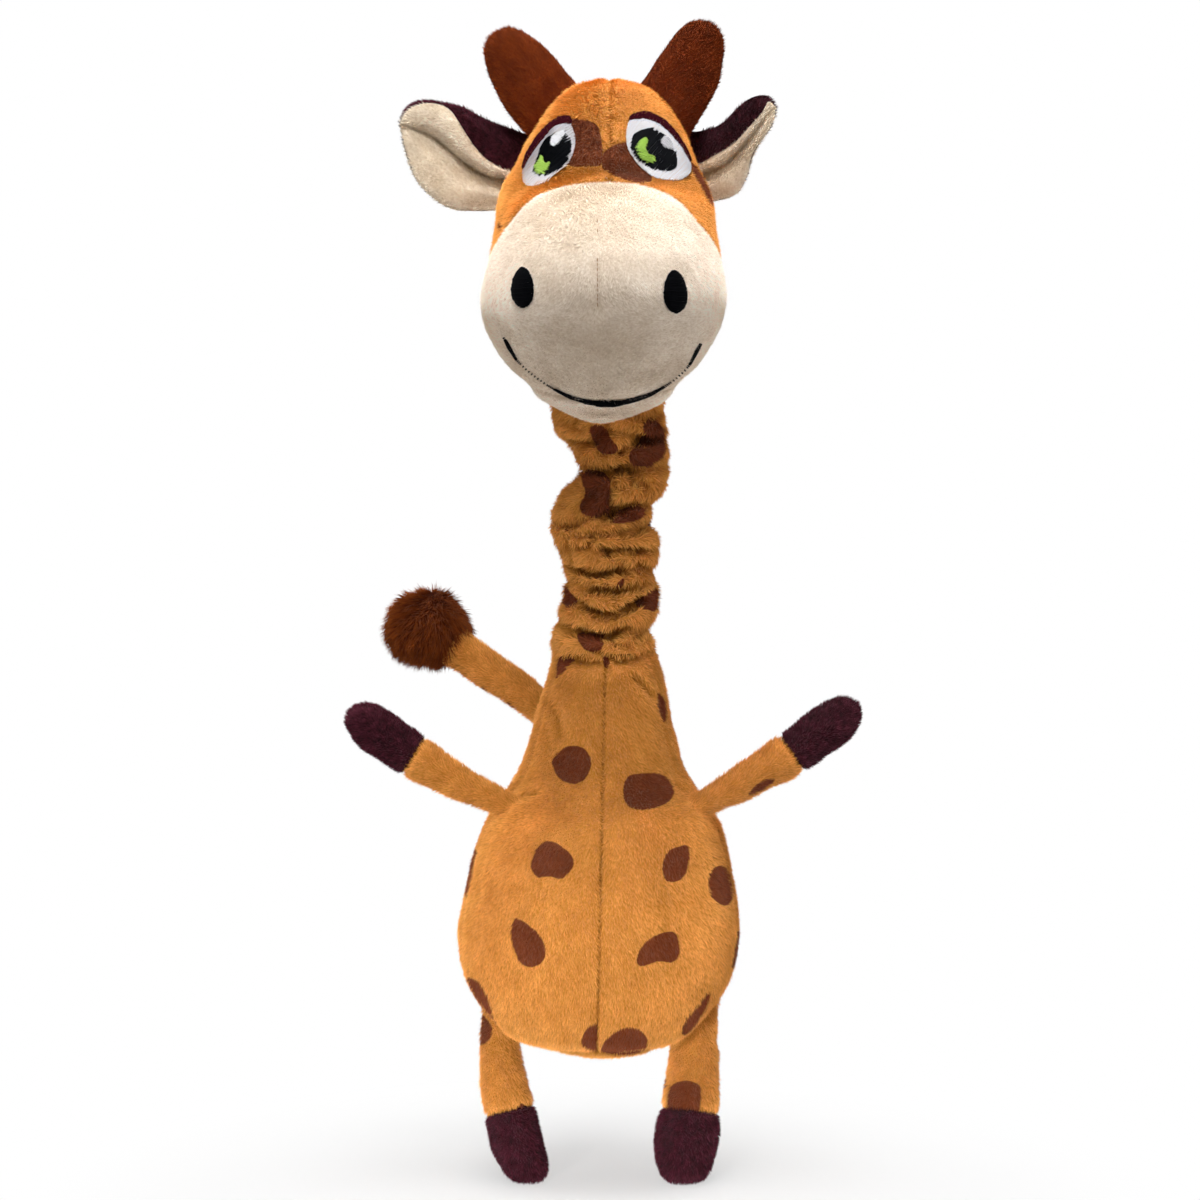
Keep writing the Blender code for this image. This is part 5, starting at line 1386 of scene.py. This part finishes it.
HEAD_PANELS = (
    ("plush_head_right", "head_skin_right", orange_plush, "orange_plush", SHORT,
     lambda turn, row, middle: muzzle_side(middle) > 0 and turn < 0.5),
    ("plush_head_left", "head_skin_left", orange_plush, "orange_plush", SHORT,
     lambda turn, row, middle: muzzle_side(middle) > 0 and turn > 0.5),
    ("plush_muzzle", "muzzle_panel", cream_plush, "cream_plush", VELBOA,
     lambda turn, row, middle: muzzle_side(middle) < 0 and chin_side(middle) > 0),
    ("plush_chin", "chin_panel", cream_plush, "cream_plush", VELBOA,
     lambda turn, row, middle: muzzle_side(middle) < 0 and chin_side(middle) < 0),
)
for name, solid, material, slot, pile, keep in HEAD_PANELS:
    piece = finish_piece(name, panel_of(head_sheet, keep), material, nap=head_nap, pile=pile)
    follow(piece, "head", slot, (solid,))
head_sheet.free()

# %% [markdown]
# ## Ears and horns
#
# Each flap is a thin pillow: two cloths sewn round the edge. The ear's top edge rolls forward, so the dark back
# cloth shows above the cream lining and a deep crease runs down the lining. A flap is one sheet wrapped round
# the traced cross-sections, from its root in the head to its tip.

# %% Flap shape
def traced_line(points):
    """A place along a traced line, in pixels, by the share of its length."""
    points = np.array(points, float)
    for _ in range(3):
        cut = np.stack([points[:-1] * 0.75 + points[1:] * 0.25, points[:-1] * 0.25 + points[1:] * 0.75], axis=1)
        points = np.concatenate([points[:1], cut.reshape(-1, 2)[1:-1], points[-1:]])
    points, lengths = lengths_along(points)
    shares = lengths / lengths[-1]
    return lambda share: at_length(points, shares, share)


def flap_place(outlines, section, origin, normal, inward=Vector((0, 0, 0))):
    """Places round a flap. The section lists turns, which two lines a point lies between, and its height.

    Shares below 0 run on into the head, by a length that the inward direction gives.
    """
    lines = {name: traced_line(points) for name, points in outlines.items()}
    turns = [row[0] for row in section]

    def place(turn, share):
        if share < 0:
            return place(turn, 0.0) - inward * share
        at = min(max(int(np.searchsorted(turns, turn, side="right")) - 1, 0), len(section) - 2)
        part = (turn - turns[at]) / (turns[at + 1] - turns[at])
        ease = smooth_step(part)
        spots = []
        heights = []
        for _, first, second, mix, height in (section[at], section[at + 1]):
            spots.append(lines[first](share) * (1 - mix) + lines[second](share) * mix)
            heights.append(height)
        spot = spots[0] * (1 - part) + spots[1] * part
        height = heights[0] * (1 - ease) + heights[1] * ease
        swell = max(0.0, 1 - share ** 2.4) ** 0.75
        return seen_on_plane(*spot, origin, normal) + normal * height * swell

    return place


def flap_normal(side, tilt, swing):
    """The forward direction of a flap that leans from the upright and swings from the picture's plane."""
    base = Vector((-side * math.sin(tilt), 0, math.cos(tilt)))
    outward = Vector((side * math.cos(tilt), 0, math.sin(tilt)))
    outward = Matrix.Rotation(-side * swing, 3, base) @ outward
    front = base.cross(outward)
    return -front if front.y > 0 else front


EAR_LINES = {
    "left": {
        "low": ((522, 206), (505, 209), (485, 212), (470, 212), (453, 210), (430, 196), (411, 174), (402, 145),
                (400, 123)),
        "crease": ((524, 184), (504, 178), (492, 177), (473, 168), (453, 152), (436, 138), (422, 131), (409, 127),
                   (400, 123)),
        "seam": ((524, 178), (506, 174), (487, 164), (475, 151), (464, 135), (456, 121), (449, 111), (436, 105),
                 (420, 105),
                             (406, 112), (400, 123)),
        "high": ((536, 138), (525, 133), (492, 123), (470, 111), (456, 105), (430, 100), (415, 103), (405, 111),
                 (400, 123)),
    },
    "right": {
        "low": ((700, 204), (712, 201), (725, 200), (739, 191), (748, 174), (753, 157), (762, 140), (773, 121),
                (776, 107)),
        "crease": ((696, 176), (706, 172), (722, 166), (737, 152), (749, 139), (757, 129), (768, 115), (774, 109),
                   (776, 107)),
        "seam": ((694, 170), (703, 165), (714, 158), (731, 149), (745, 137), (753, 126), (766, 112), (769, 99),
                 (776, 107)),
        "high": ((682, 128), (692, 131), (714, 129), (725, 121), (736, 109), (750, 97), (762, 94), (770, 97),
                 (776, 107)),
    },
}
# Turn, the two lines that a point lies between, how far from the first to the second, and its height
EAR_SECTION = (
    (0.00, "low", "crease", 0.0, 0.0), (0.06, "low", "crease", 0.10, 0.0022), (0.16, "low", "crease", 0.45, 0.0030),
    (0.24, "low", "crease", 0.82, 0.0010), (0.29, "crease", "seam", 0.0, -0.0022),
    (0.325, "crease", "seam", 0.10, 0.0026),
    (0.36, "crease", "seam", 0.38, 0.0064), (0.39, "crease", "seam", 0.70, 0.0068),
    (0.42, "seam", "high", 0.0, 0.0060),
    (0.49, "seam", "high", 0.55, 0.0044), (0.55, "high", "seam", 0.0, 0.0004), (0.62, "high", "low", 0.12, -0.0034),
    (0.80, "high", "low", 0.50, -0.0044), (0.94, "high", "low", 0.84, -0.0022), (1.00, "high", "low", 1.0, 0.0),
)
EAR_ROWS = [1 - (1 - step / 44) ** 1.25 for step in range(45)]
# How far the root runs on into the head, in metres below the ear's foot
EAR_ROOTS = [-0.012, -0.009, -0.006, -0.003]
EAR_COLUMNS = [round(step / 100, 4) for step in range(101)]
# The turn at which the lining meets the back
EAR_EDGE = 0.42
EARS = (
    ("left", -1, 6, 1.0, Vector((-0.0302, 0.0271, 0.3494))),
    ("right", 1, 40, 0.5, Vector((0.0342, 0.0262, 0.3528))),
)
for side, sign, swing, roll, origin in EARS:
    normal = flap_normal(sign, math.radians(16), math.radians(swing))
    # The right ear's edge rolls less than the left one's
    section = [(*row[:4], row[4] * (roll if row[4] > -0.0023 else 1)) for row in EAR_SECTION]
    inward = Vector((-sign, -math.tan(math.radians(swing)), -0.2))
    place = flap_place(EAR_LINES[side], section, origin, normal, inward)
    sheet = wrap_sheet(place, EAR_COLUMNS, EAR_ROOTS + EAR_ROWS)
    uneven(sheet, 0.0007, 0.010, 5 + sign)
    shade_hollows(sheet, rounds=16, full=0.0030)
    outward = Vector((sign, 0, 0.3))
    # The buried root stays with the head, and the cloth bends just outside it
    start, end = origin - outward * 0.002, origin + outward * 0.010
    for cloth, face, material, keep in (
        ("cream", "lining", ear_plush, lambda turn, row, middle: turn < EAR_EDGE),
        ("plum", "back", plum_plush, lambda turn, row, middle: turn > EAR_EDGE),
    ):
        panel = panel_of(sheet, keep)
        piece = finish_piece(f"ear_{side}_{cloth}_{face}", panel, material, nap=lambda place: outward, pile=FINE)
        bend_with(piece, "head", f"ear_{side}", start, end, f"{cloth}_plush", (f"ear_{side}_{face}",))
    sheet.free()

# %% [markdown]
# Each horn is a flat pillow of brown velour, sewn round its edge and stuffed lightly. The shape could be a swept
# tube, but the real one is wider than it is deep. It is made like the ears, with a section that swells evenly on
# both sides.

# %% Horns
HORN_LINES = {
    "left": {
        "low": ((538, 140), (524, 132), (517, 123), (506, 109), (494, 87), (486, 70), (484, 53), (487, 39),
                (494, 31), (508, 26)),
        "high": ((584, 100), (576, 83), (568, 75), (560, 64), (548, 50), (534, 40), (520, 29), (508, 26)),
    },
    "right": {
        "low": ((682, 142), (694, 130), (706, 109), (715, 93), (721, 73), (725, 50), (721, 32), (711, 22), (701, 20)),
        "high": ((626, 104), (638, 87), (647, 74), (655, 62), (666, 48), (676, 31), (689, 21), (701, 20)),
    },
}
HORN_SECTION = (
    (0.00, "low", "high", 0.0, 0.0), (0.06, "low", "high", 0.06, 0.0017), (0.14, "low", "high", 0.22, 0.0031),
    (0.25, "low", "high", 0.50, 0.0038), (0.36, "low", "high", 0.78, 0.0031), (0.44, "low", "high", 0.94, 0.0017),
    (0.50, "high", "low", 0.0, 0.0), (0.56, "high", "low", 0.06, -0.0017), (0.64, "high", "low", 0.22, -0.0031),
    (0.75, "high", "low", 0.50, -0.0038), (0.86, "high", "low", 0.78, -0.0031), (0.94, "high", "low", 0.94, -0.0017),
    (1.00, "high", "low", 1.0, 0.0),
)
HORN_COLUMNS = [round(step / 72, 5) for step in range(73)]
HORNS = (
    ("left", -1, 45, Vector((-0.0182, 0.0173, 0.3714))), ("right", 1, 53, Vector((0.0229, 0.0173, 0.3713))),
)
for side, sign, tilt, origin in HORNS:
    normal = flap_normal(sign, math.radians(tilt), 0)
    sheet = wrap_sheet(flap_place(HORN_LINES[side], HORN_SECTION, origin, normal), HORN_COLUMNS, EAR_ROWS)
    uneven(sheet, 0.0006, 0.009, 8 + sign)
    shade_hollows(sheet, rounds=8, full=0.0010)
    along = Vector((sign, 0, 1))
    for face, keep in (
        ("front", lambda turn, row, middle: turn < 0.5), ("back", lambda turn, row, middle: turn > 0.5),
    ):
        panel = panel_of(sheet, keep)
        piece = finish_piece(f"horn_{side}_velour_{face}", panel, horn_velour, nap=lambda place: along, pile=FINE)
        follow(piece, f"horn_{side}", "horn_suede", (f"horn_{side}_{face}",))
    sheet.free()

# %% [markdown]
# ## Arms, legs and tail
#
# A limb is a stuffed tube on a gentle curve. Its first centimetre is gathered where it is sewn into the body and
# bends with the shoulder or the hip, and the dark hoof is a separate cap of plush.

# %% Limbs
ARM_ROOT = {"left": Vector((-0.03345, 0.00331, 0.1305)), "right": Vector((0.03418, 0.00331, 0.1305))}
ARM_SHARES = (
    (-0.20, 0.58), (0, 0.58), (0.12, 0.62), (0.25, 0.70), (0.42, 0.82), (0.56, 0.93), (0.70, 1.00), (0.83, 0.98),
    (0.91, 0.83), (0.965, 0.57), (0.99, 0.28), (1.0, 0.0),
)
LEG_SHARES = (
    (-0.14, 0.66), (0, 0.68), (0.14, 0.75), (0.28, 0.84), (0.44, 0.93), (0.56, 1.0), (0.66, 1.06), (0.75, 1.06),
    (0.83, 1.00), (0.90, 0.88), (0.95, 0.68), (0.985, 0.38), (1.0, 0.0),
)
ARM_RADIUS = 0.0073
LEG_RADIUS = 0.0094
CUFF_LENGTH = 0.0130
# Past the cuff the sleeve bends over this length
SLEEVE_BEND = 0.006
# The hoof's seam, by the share of the limb's length, and the height of the soles' cloth over the floor
HOOF_SHARE = 0.56
SOLE_HEIGHT = 0.0011


def arm_route(side, sign, length, rise):
    """The root, the bend and the end of an arm that rises by an angle in degrees."""
    root = ARM_ROOT[side] + Vector((0, 0, 0.0010))
    low = math.radians(rise - 8)
    high = math.radians(rise)
    knee = root + Vector((sign * math.cos(low), 0, math.sin(low))) * length / 2
    tip = root + Vector((sign * math.cos(high), 0, math.sin(high))) * length
    return root, knee, tip


def leg_route(sign, root, knee_in, foot_in):
    """The root, the bend and the foot of a leg, whose knee and foot stand inward of its root."""
    knee = Vector((root.x - sign * knee_in, root.y - 0.0062, root.z * 0.452))
    foot = Vector((root.x - sign * foot_in, root.y - 0.0132, -0.0005))
    return root, knee, foot


def limb_place(route, radius_at, buried=None):
    """Places round a limb's curve. The turn starts at the side away from the viewer's right.

    A limb that runs along the body turns into it at its root, by a curve of its own for shares from -0.1 to 0.
    """

    def place(turn, share):
        root, knee, tip = route
        at = min(max(share, -0.3), 1.0)
        if buried and share < 0:
            root, knee, tip = buried
            at = 1 + share * 10
        centre = root * (1 - at) ** 2 + knee * 2 * at * (1 - at) + tip * at ** 2
        heading = ((knee - root) * (1 - at) + (tip - knee) * at).normalized()
        across = Vector((0, 1, 0)).cross(heading).normalized()
        upward = heading.cross(across)
        radius = radius_at(share)
        return centre + (across * math.cos(math.tau * turn) + upward * math.sin(math.tau * turn)) * radius

    return place


def make_limb(name, route, table, radius):
    """One stuffed limb of three cloths: the cuff, the sleeve and the hoof."""
    size = table_curve(table)
    length = (route[2] - route[0]).length
    cuff = CUFF_LENGTH / length
    tip_rows = (1 - (0.03 * step / 5) ** 1.6 for step in range(1, 5))
    rows = sorted({*np.linspace(table[0][0], 1, 64).round(5), *tip_rows, HOOF_SHARE, cuff, 1.0})
    hoof_row = rows.index(HOOF_SHARE)
    cuff_row = rows.index(cuff)
    place = limb_place(route, lambda share: radius * max(float(size(share)[0]), 0.0))
    sheet = wrap_sheet(place, [step / 48 for step in range(49)], rows)
    uneven(sheet, 0.0009, 0.011, len(name))
    uneven(sheet, 0.0004, 0.004, len(name) + 3)
    root, knee, tip = route
    seam = root + (knee - root) * 2 * HOOF_SHARE * (1 - HOOF_SHARE) + (tip - root) * HOOF_SHARE ** 2
    heading = (knee - root) * (1 - HOOF_SHARE) + (tip - knee) * HOOF_SHARE
    pinch(sheet, plane_distance(seam, heading), 0.0007, 0.0012)
    if name.startswith("leg"):
        for vert in sheet.verts:
            vert.co.z = max(vert.co.z, SOLE_HEIGHT)
    print_spots(sheet, LIMB_SPOTS[name])
    shade_hollows(sheet, rounds=6, full=0.0006, seams=((plane_distance(seam, heading), 0.5),))
    outward = (tip - root).normalized()
    cuff_end = root + outward * CUFF_LENGTH
    pieces = (("cuff", lambda turn, row, middle: row < cuff_row, orange_plush, "orange_plush", SHORT),
              ("sleeve", lambda turn, row, middle: cuff_row < row < hoof_row, orange_plush, "orange_plush", SHORT),
              ("hoof", lambda turn, row, middle: row > hoof_row, plum_plush, "plum_plush", TUFTY))
    for part, keep, material, slot, pile in pieces:
        panel = panel_of(sheet, keep)
        piece = finish_piece(f"plush_{name}_{part}", panel, material, nap=lambda place: outward, pile=pile)
        nodes = (f"{name}_{part}",)
        if part == "cuff":
            bend_with(piece, "torso", f"{name}_root", root - outward * 0.002, cuff_end, slot, nodes)
        elif part == "sleeve":
            bend_end = root + outward * (CUFF_LENGTH + SLEEVE_BEND)
            bend_with(piece, f"{name}_root", name, cuff_end, bend_end, slot, nodes)
        else:
            follow(piece, name, slot, nodes)
    sheet.free()


LIMB_SPOTS = {
    "arm_left": (((456, 754), (465, 758), (480, 768), (472, 769), (463, 763)),),
    "arm_right": (((728, 761), (738, 755), (754, 747), (748, 758), (741, 762), (735, 763)),
                  ((746, 797), (752, 788), (762, 780), (770, 778), (777, 779), (767, 786), (756, 792))),
    "leg_left": (((476, 1005), (494, 1026), (491, 1040), (481, 1047), (475, 1040), (475, 1021)),
                 ((513, 1114), (516, 1106), (522, 1102), (526, 1108), (522, 1116))),
    "leg_right": (((668, 1118), (669, 1088), (677, 1082), (688, 1080), (699, 1084), (701, 1091), (699, 1118)),
                  ((662, 1048), (667, 1062), (669, 1087), (665, 1091), (661, 1075))),
}
LEFT_HIP = Vector((-0.03573, 0.02746, 0.0575))
RIGHT_HIP = Vector((0.03342, 0.02746, 0.0575))
make_limb("arm_left", arm_route("left", -1, 0.0610, 31.5), ARM_SHARES, ARM_RADIUS)
make_limb("arm_right", arm_route("right", 1, 0.0625, 33), ARM_SHARES, ARM_RADIUS)
make_limb("leg_left", leg_route(-1, LEFT_HIP, -0.0005, 0.0128), LEG_SHARES, LEG_RADIUS * 0.85)
make_limb("leg_right", leg_route(1, RIGHT_HIP, 0.0014, 0.0062), LEG_SHARES, LEG_RADIUS * 1.04)

# %% [markdown]
# The tail is a thin stuffed tube that comes out of the back and bends to the side. Its root is sewn into the seam,
# so the tube turns into the body on a curve of its own, and its open end stays hidden.

# %% Tail
TAIL_ROOT = Vector((0.0007, 0.04186, 0.1465))
TAIL_END = Vector((TAIL_ROOT.x - 0.0635, AXIS_Y + 0.0565 - 0.0150, TAIL_ROOT.z + 0.0442))
TAIL_ROUTE = (TAIL_ROOT, TAIL_ROOT + Vector((-0.0257, 0.0094, 0.0190)), TAIL_END)
TAIL_BEND = TAIL_ROOT - (TAIL_ROUTE[1] - TAIL_ROOT).normalized() * 0.0035
TAIL_BURIED = (TAIL_BEND + Vector((0.002, -0.0130, -0.001)), TAIL_BEND, TAIL_ROOT)
TAIL_RADIUS = 0.0060
TAIL_SHARES = (
    (-0.10, 0.88), (0, 0.88), (0.20, 0.88), (0.40, 0.92), (0.60, 0.98), (0.78, 1.06), (0.90, 1.10), (1.0, 1.0),
)
tail_size = table_curve(TAIL_SHARES)
tail_length = (TAIL_END - TAIL_ROOT).length
tail_cuff = CUFF_LENGTH / tail_length
tail_rows = sorted({*np.linspace(-0.10, 0, 12).round(5), *np.linspace(0, 0.90, 54).round(5), tail_cuff})
tail_place = limb_place(TAIL_ROUTE, lambda share: TAIL_RADIUS * float(tail_size(share)[0]), TAIL_BURIED)
tail_sheet = wrap_sheet(tail_place, [step / 40 for step in range(41)], tail_rows)
uneven(tail_sheet, 0.0007, 0.010, 12)
uneven(tail_sheet, 0.0003, 0.004, 13)
shade_hollows(tail_sheet, rounds=6, full=0.0006)
print_spots(tail_sheet, (
    ((478, 688), (483, 684), (492, 693), (485, 695)), ((505, 700), (512, 702), (518, 714), (511, 713)),
))
tail_outward = (TAIL_END - TAIL_ROOT).normalized()
split = tail_rows.index(tail_cuff)
tail_stops = (TAIL_ROOT, TAIL_ROOT + tail_outward * CUFF_LENGTH, TAIL_ROOT + tail_outward * (CUFF_LENGTH + SLEEVE_BEND))
TAIL_PARTS = (
    ("cuff", lambda turn, row, middle: row < split, "torso", "tail_root", *tail_stops[:2]),
    ("sleeve", lambda turn, row, middle: row > split, "tail_root", "tail", *tail_stops[1:]),
)
for part, keep, first, second, start, end in TAIL_PARTS:
    panel = panel_of(tail_sheet, keep)
    piece = finish_piece(f"plush_tail_{part}", panel, orange_plush, nap=lambda place: tail_outward, pile=SHORT)
    bend_with(piece, first, second, start, end, "orange_plush", (f"tail_{part}",))
tail_sheet.free()

# %% [markdown]
# The tail ends in a ball of long fur. A thick texture would show a smooth outline, so the tuft is a lumpy ball with
# the same pile as the cloth, only longer and in bigger clumps.

# %% Tuft
# Half the ball's width, depth and height
TUFT_SIZE = (0.0138, 0.0128, 0.0130)


def tuft_place(turn, row):
    """A place on the ball, whose rows run from its lowest point to its highest."""
    around, up = math.tau * turn, math.pi * row
    ball = (math.sin(up) * math.cos(around), math.sin(up) * math.sin(around), -math.cos(up))
    return TAIL_END + Vector([part * size for part, size in zip(ball, TUFT_SIZE)])


# A grid keeps the order of its faces from run to run, as a ready-made sphere doesn't, so the fur is always the same
tuft_sheet = wrap_sheet(tuft_place, [step / 40 for step in range(41)], [step / 20 for step in range(21)])
uneven(tuft_sheet, 0.0020, 0.014, 14)
LONG_FUR = dict(density=3.0, length=0.0044, width=0.00040, lean=1.2, clump=2.2)


def tuft_nap(place):
    """The long fur stands out from the tail's end and hangs a little."""
    return (place - TAIL_END + Vector((-0.002, 0, -0.003))) + Vector((0, 0, -0.004))


piece = finish_piece("fur_tail_tuft", tuft_sheet, tuft_fur, nap=tuft_nap, pile=LONG_FUR)
follow(piece, "tail", "tuft_fur", ("tail_tuft",))

# %% [markdown]
# ## Inside the toy
#
# The filling, the elastic in the neck and the squeaker can't be seen, but they are there. The filling is a lumpy
# form just under the cloth, and the moulded parts keep their solids with a finish of their own.

# %% Filling
ARM_FILLING_SIZE = 0.72
FILLINGS = (("body_filling_front", "torso"), ("body_filling_back", "torso"), *(
    (f"{body}_filling", body) for body in ("head", "arm_left", "arm_right", "leg_left", "leg_right", "tail")
))
for solid, body in FILLINGS:
    lump = bmesh.new()
    lump.from_mesh(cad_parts[solid].data)
    bmesh.ops.remove_doubles(lump, verts=lump.verts, dist=0.00001)
    bmesh.ops.subdivide_edges(lump, edges=lump.edges, cuts=1, use_grid_fill=True)
    bmesh.ops.smooth_vert(lump, verts=lump.verts, factor=0.3, use_axis_x=True, use_axis_y=True, use_axis_z=True)
    lump.normal_update()
    middle = sum((vert.co for vert in lump.verts), Vector()) / len(lump.verts)
    # The arms' cloth is thinner than their solids
    size = ARM_FILLING_SIZE if solid.startswith("arm") else 1.0
    for vert in lump.verts:
        vert.co -= vert.normal * (0.0006 + 0.0006 * noise.noise(vert.co / 0.006))
        vert.co = middle + (vert.co - middle) * size
    piece = finish_piece(f"stuffing_{solid}", lump, fibre_filling)
    follow(piece, body, "fibre_filling", (solid,))

# The elastic goes from anchor to anchor. Each length bends or stretches with the sleeve round it.
cord = [Vector(vert.co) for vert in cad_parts["neck_elastic"].data.vertices]
cord_low = min(place.z for place in cord)
cord_high = max(place.z for place in cord)
cord_x = sum(place.x for place in cord) / len(cord)
CORD_RADIUS = 0.0020


def cord_place(turn, rise):
    """A place round the elastic, which narrows where it goes into its anchors."""
    near_end = min(rise - cord_low, cord_high - rise)
    radius = CORD_RADIUS * min(1.0, 0.1 + near_end / CORD_RADIUS)
    return Vector((cord_x + radius * math.cos(math.tau * turn), AXIS_Y + radius * math.sin(math.tau * turn), rise))


for name, low, high, first, second in SLEEVES:
    # The lowest and the highest length go on into the anchors, past the ends of the bend
    foot = cord_low if name == "base" else low
    head = cord_high if name == "top" else high
    tube = wrap_sheet(cord_place, [step / 12 for step in range(13)], list(np.linspace(foot, head, 17)))
    piece = finish_piece(f"elastic_neck_{name}", tube, elastic_cord)
    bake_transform(piece, first, second, start=(0, AXIS_Y, max(foot, low)), end=(0, AXIS_Y, min(head, high)))
    if name == "middle":
        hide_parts("neck_elastic")
for solid, material in (("neck_anchor_lower", elastic_cord), ("neck_anchor_upper", elastic_cord),
                        ("squeaker_bulb", squeaker_plastic), ("squeaker_reed", squeaker_plastic)):
    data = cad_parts[solid].data
    if not data.materials:
        data.materials.append(material)
    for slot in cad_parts[solid].material_slots:
        slot.material = material

# %% [markdown]
# ## Floor, backdrop and light
#
# The photograph has a white ground. The floor is a pale matt sheet that catches the toy's shadow close by and
# turns into plain white further away, and the world is white to the camera. The lamps are large soft panels in
# front, at both sides, above and behind, two narrow ones on the brow and the feet, and a dim even world.

# %% Floor
floor_sheet = bmesh.new()
bmesh.ops.create_grid(floor_sheet, x_segments=1, y_segments=1, size=6)
floor_mesh = bpy.data.meshes.new("studio_floor")
floor_sheet.to_mesh(floor_mesh)
floor_sheet.free()
floor = bpy.data.objects.new("studio_floor", floor_mesh)
bpy.context.scene.collection.objects.link(floor)
paper = bpy.data.materials.new("white_studio_paper")
paper.use_nodes = True
tree = paper.node_tree
tree.nodes.clear()
place = node(tree, "ShaderNodeTexCoord").outputs["Object"]
away = node(tree, "ShaderNodeVectorMath", {0: place}, operation="LENGTH")
far = node(tree, "ShaderNodeMapRange", {
    "Value": away.outputs["Value"], "From Min": 0.03, "From Max": 0.20, "To Min": 0.55,
}, interpolation_type="SMOOTHSTEP")
rays = node(tree, "ShaderNodeLightPath")
glow = node(tree, "ShaderNodeMath", {0: far.outputs["Result"], 1: rays.outputs["Is Camera Ray"]}, operation="MULTIPLY")
matt = node(tree, "ShaderNodeBsdfDiffuse", {"Color": colour("E4E4E4")})
white = node(tree, "ShaderNodeEmission", {"Color": (1, 1, 1, 1), "Strength": 1.0})
mixed = node(tree, "ShaderNodeMixShader", {0: glow.outputs[0], 1: matt.outputs["BSDF"], 2: white.outputs["Emission"]})
node(tree, "ShaderNodeOutputMaterial", {"Surface": mixed.outputs["Shader"]})
floor_mesh.materials.append(paper)

# %% [markdown]
# The world around the toy lights it evenly and weakly. The camera sees plain white instead, which stands for the
# photographer's backdrop. Both come from one material that asks which kind of ray is looking.

# %% World
world = bpy.data.worlds.new("white_studio")
bpy.context.scene.world = world
world.use_nodes = True
tree = world.node_tree
tree.nodes.clear()
rays = node(tree, "ShaderNodeLightPath")
seen = rays.outputs["Is Camera Ray"]
for kind in ("Is Glossy Ray", "Is Transmission Ray"):
    seen = node(tree, "ShaderNodeMath", {0: seen, 1: rays.outputs[kind]}, operation="MAXIMUM").outputs[0]
even = node(tree, "ShaderNodeBackground", {"Color": colour("FFF9F0"), "Strength": 0.16})
plain = node(tree, "ShaderNodeBackground", {"Color": (1, 1, 1, 1), "Strength": 1.0})
mixed = node(tree, "ShaderNodeMixShader", {0: seen, 1: even.outputs[0], 2: plain.outputs[0]})
node(tree, "ShaderNodeOutputWorld", {"Surface": mixed.outputs["Shader"]})

# %% [markdown]
# Product photographs of soft toys use large soft panels, because hard light makes pile look like wire. The table
# holds the key, the fill and the side panels, and two narrow ones that brighten the brow and the feet as in the
# photograph.

# %% Lamps
# Name, place, size, power, the height it aims at and how wide its beam opens in degrees
LAMPS = (
    ("key_panel", (-0.30, -0.95, 1.25), 0.9, 3.6, 0.20, 180),
    ("fill_panel", (0.95, -0.85, 0.55), 1.0, 1.6, 0.20, 180),
    ("top_panel", (0.0, -0.32, 1.40), 0.6, 1.2, 0.25, 45),
    ("low_panel", (-0.30, -0.92, 0.12), 0.25, 0.18, 0.01, 22),
    ("left_panel", (-1.10, -0.10, 0.55), 0.8, 1.8, 0.20, 180),
    ("right_panel", (1.10, -0.10, 0.55), 0.8, 1.8, 0.20, 180),
    ("brow_panel", (-0.05, -0.50, 1.00), 0.15, 0.080, 0.365, 22),
    ("back_panel", (0.10, 1.20, 0.90), 1.2, 2.2, 0.20, 180),
)
for name, place, size, power, aim, beam in LAMPS:
    lamp = bpy.data.lights.new(name, "AREA")
    lamp.shape = "DISK"
    lamp.size = size
    lamp.energy = power
    lamp.spread = math.radians(beam)
    holder = bpy.data.objects.new(name, lamp)
    holder.location = place
    holder.rotation_euler = (Vector((0, AXIS_Y, aim)) - Vector(place)).to_track_quat("-Z", "Y").to_euler()
    bpy.context.scene.collection.objects.link(holder)
bpy.context.scene.view_settings.view_transform = "Standard"
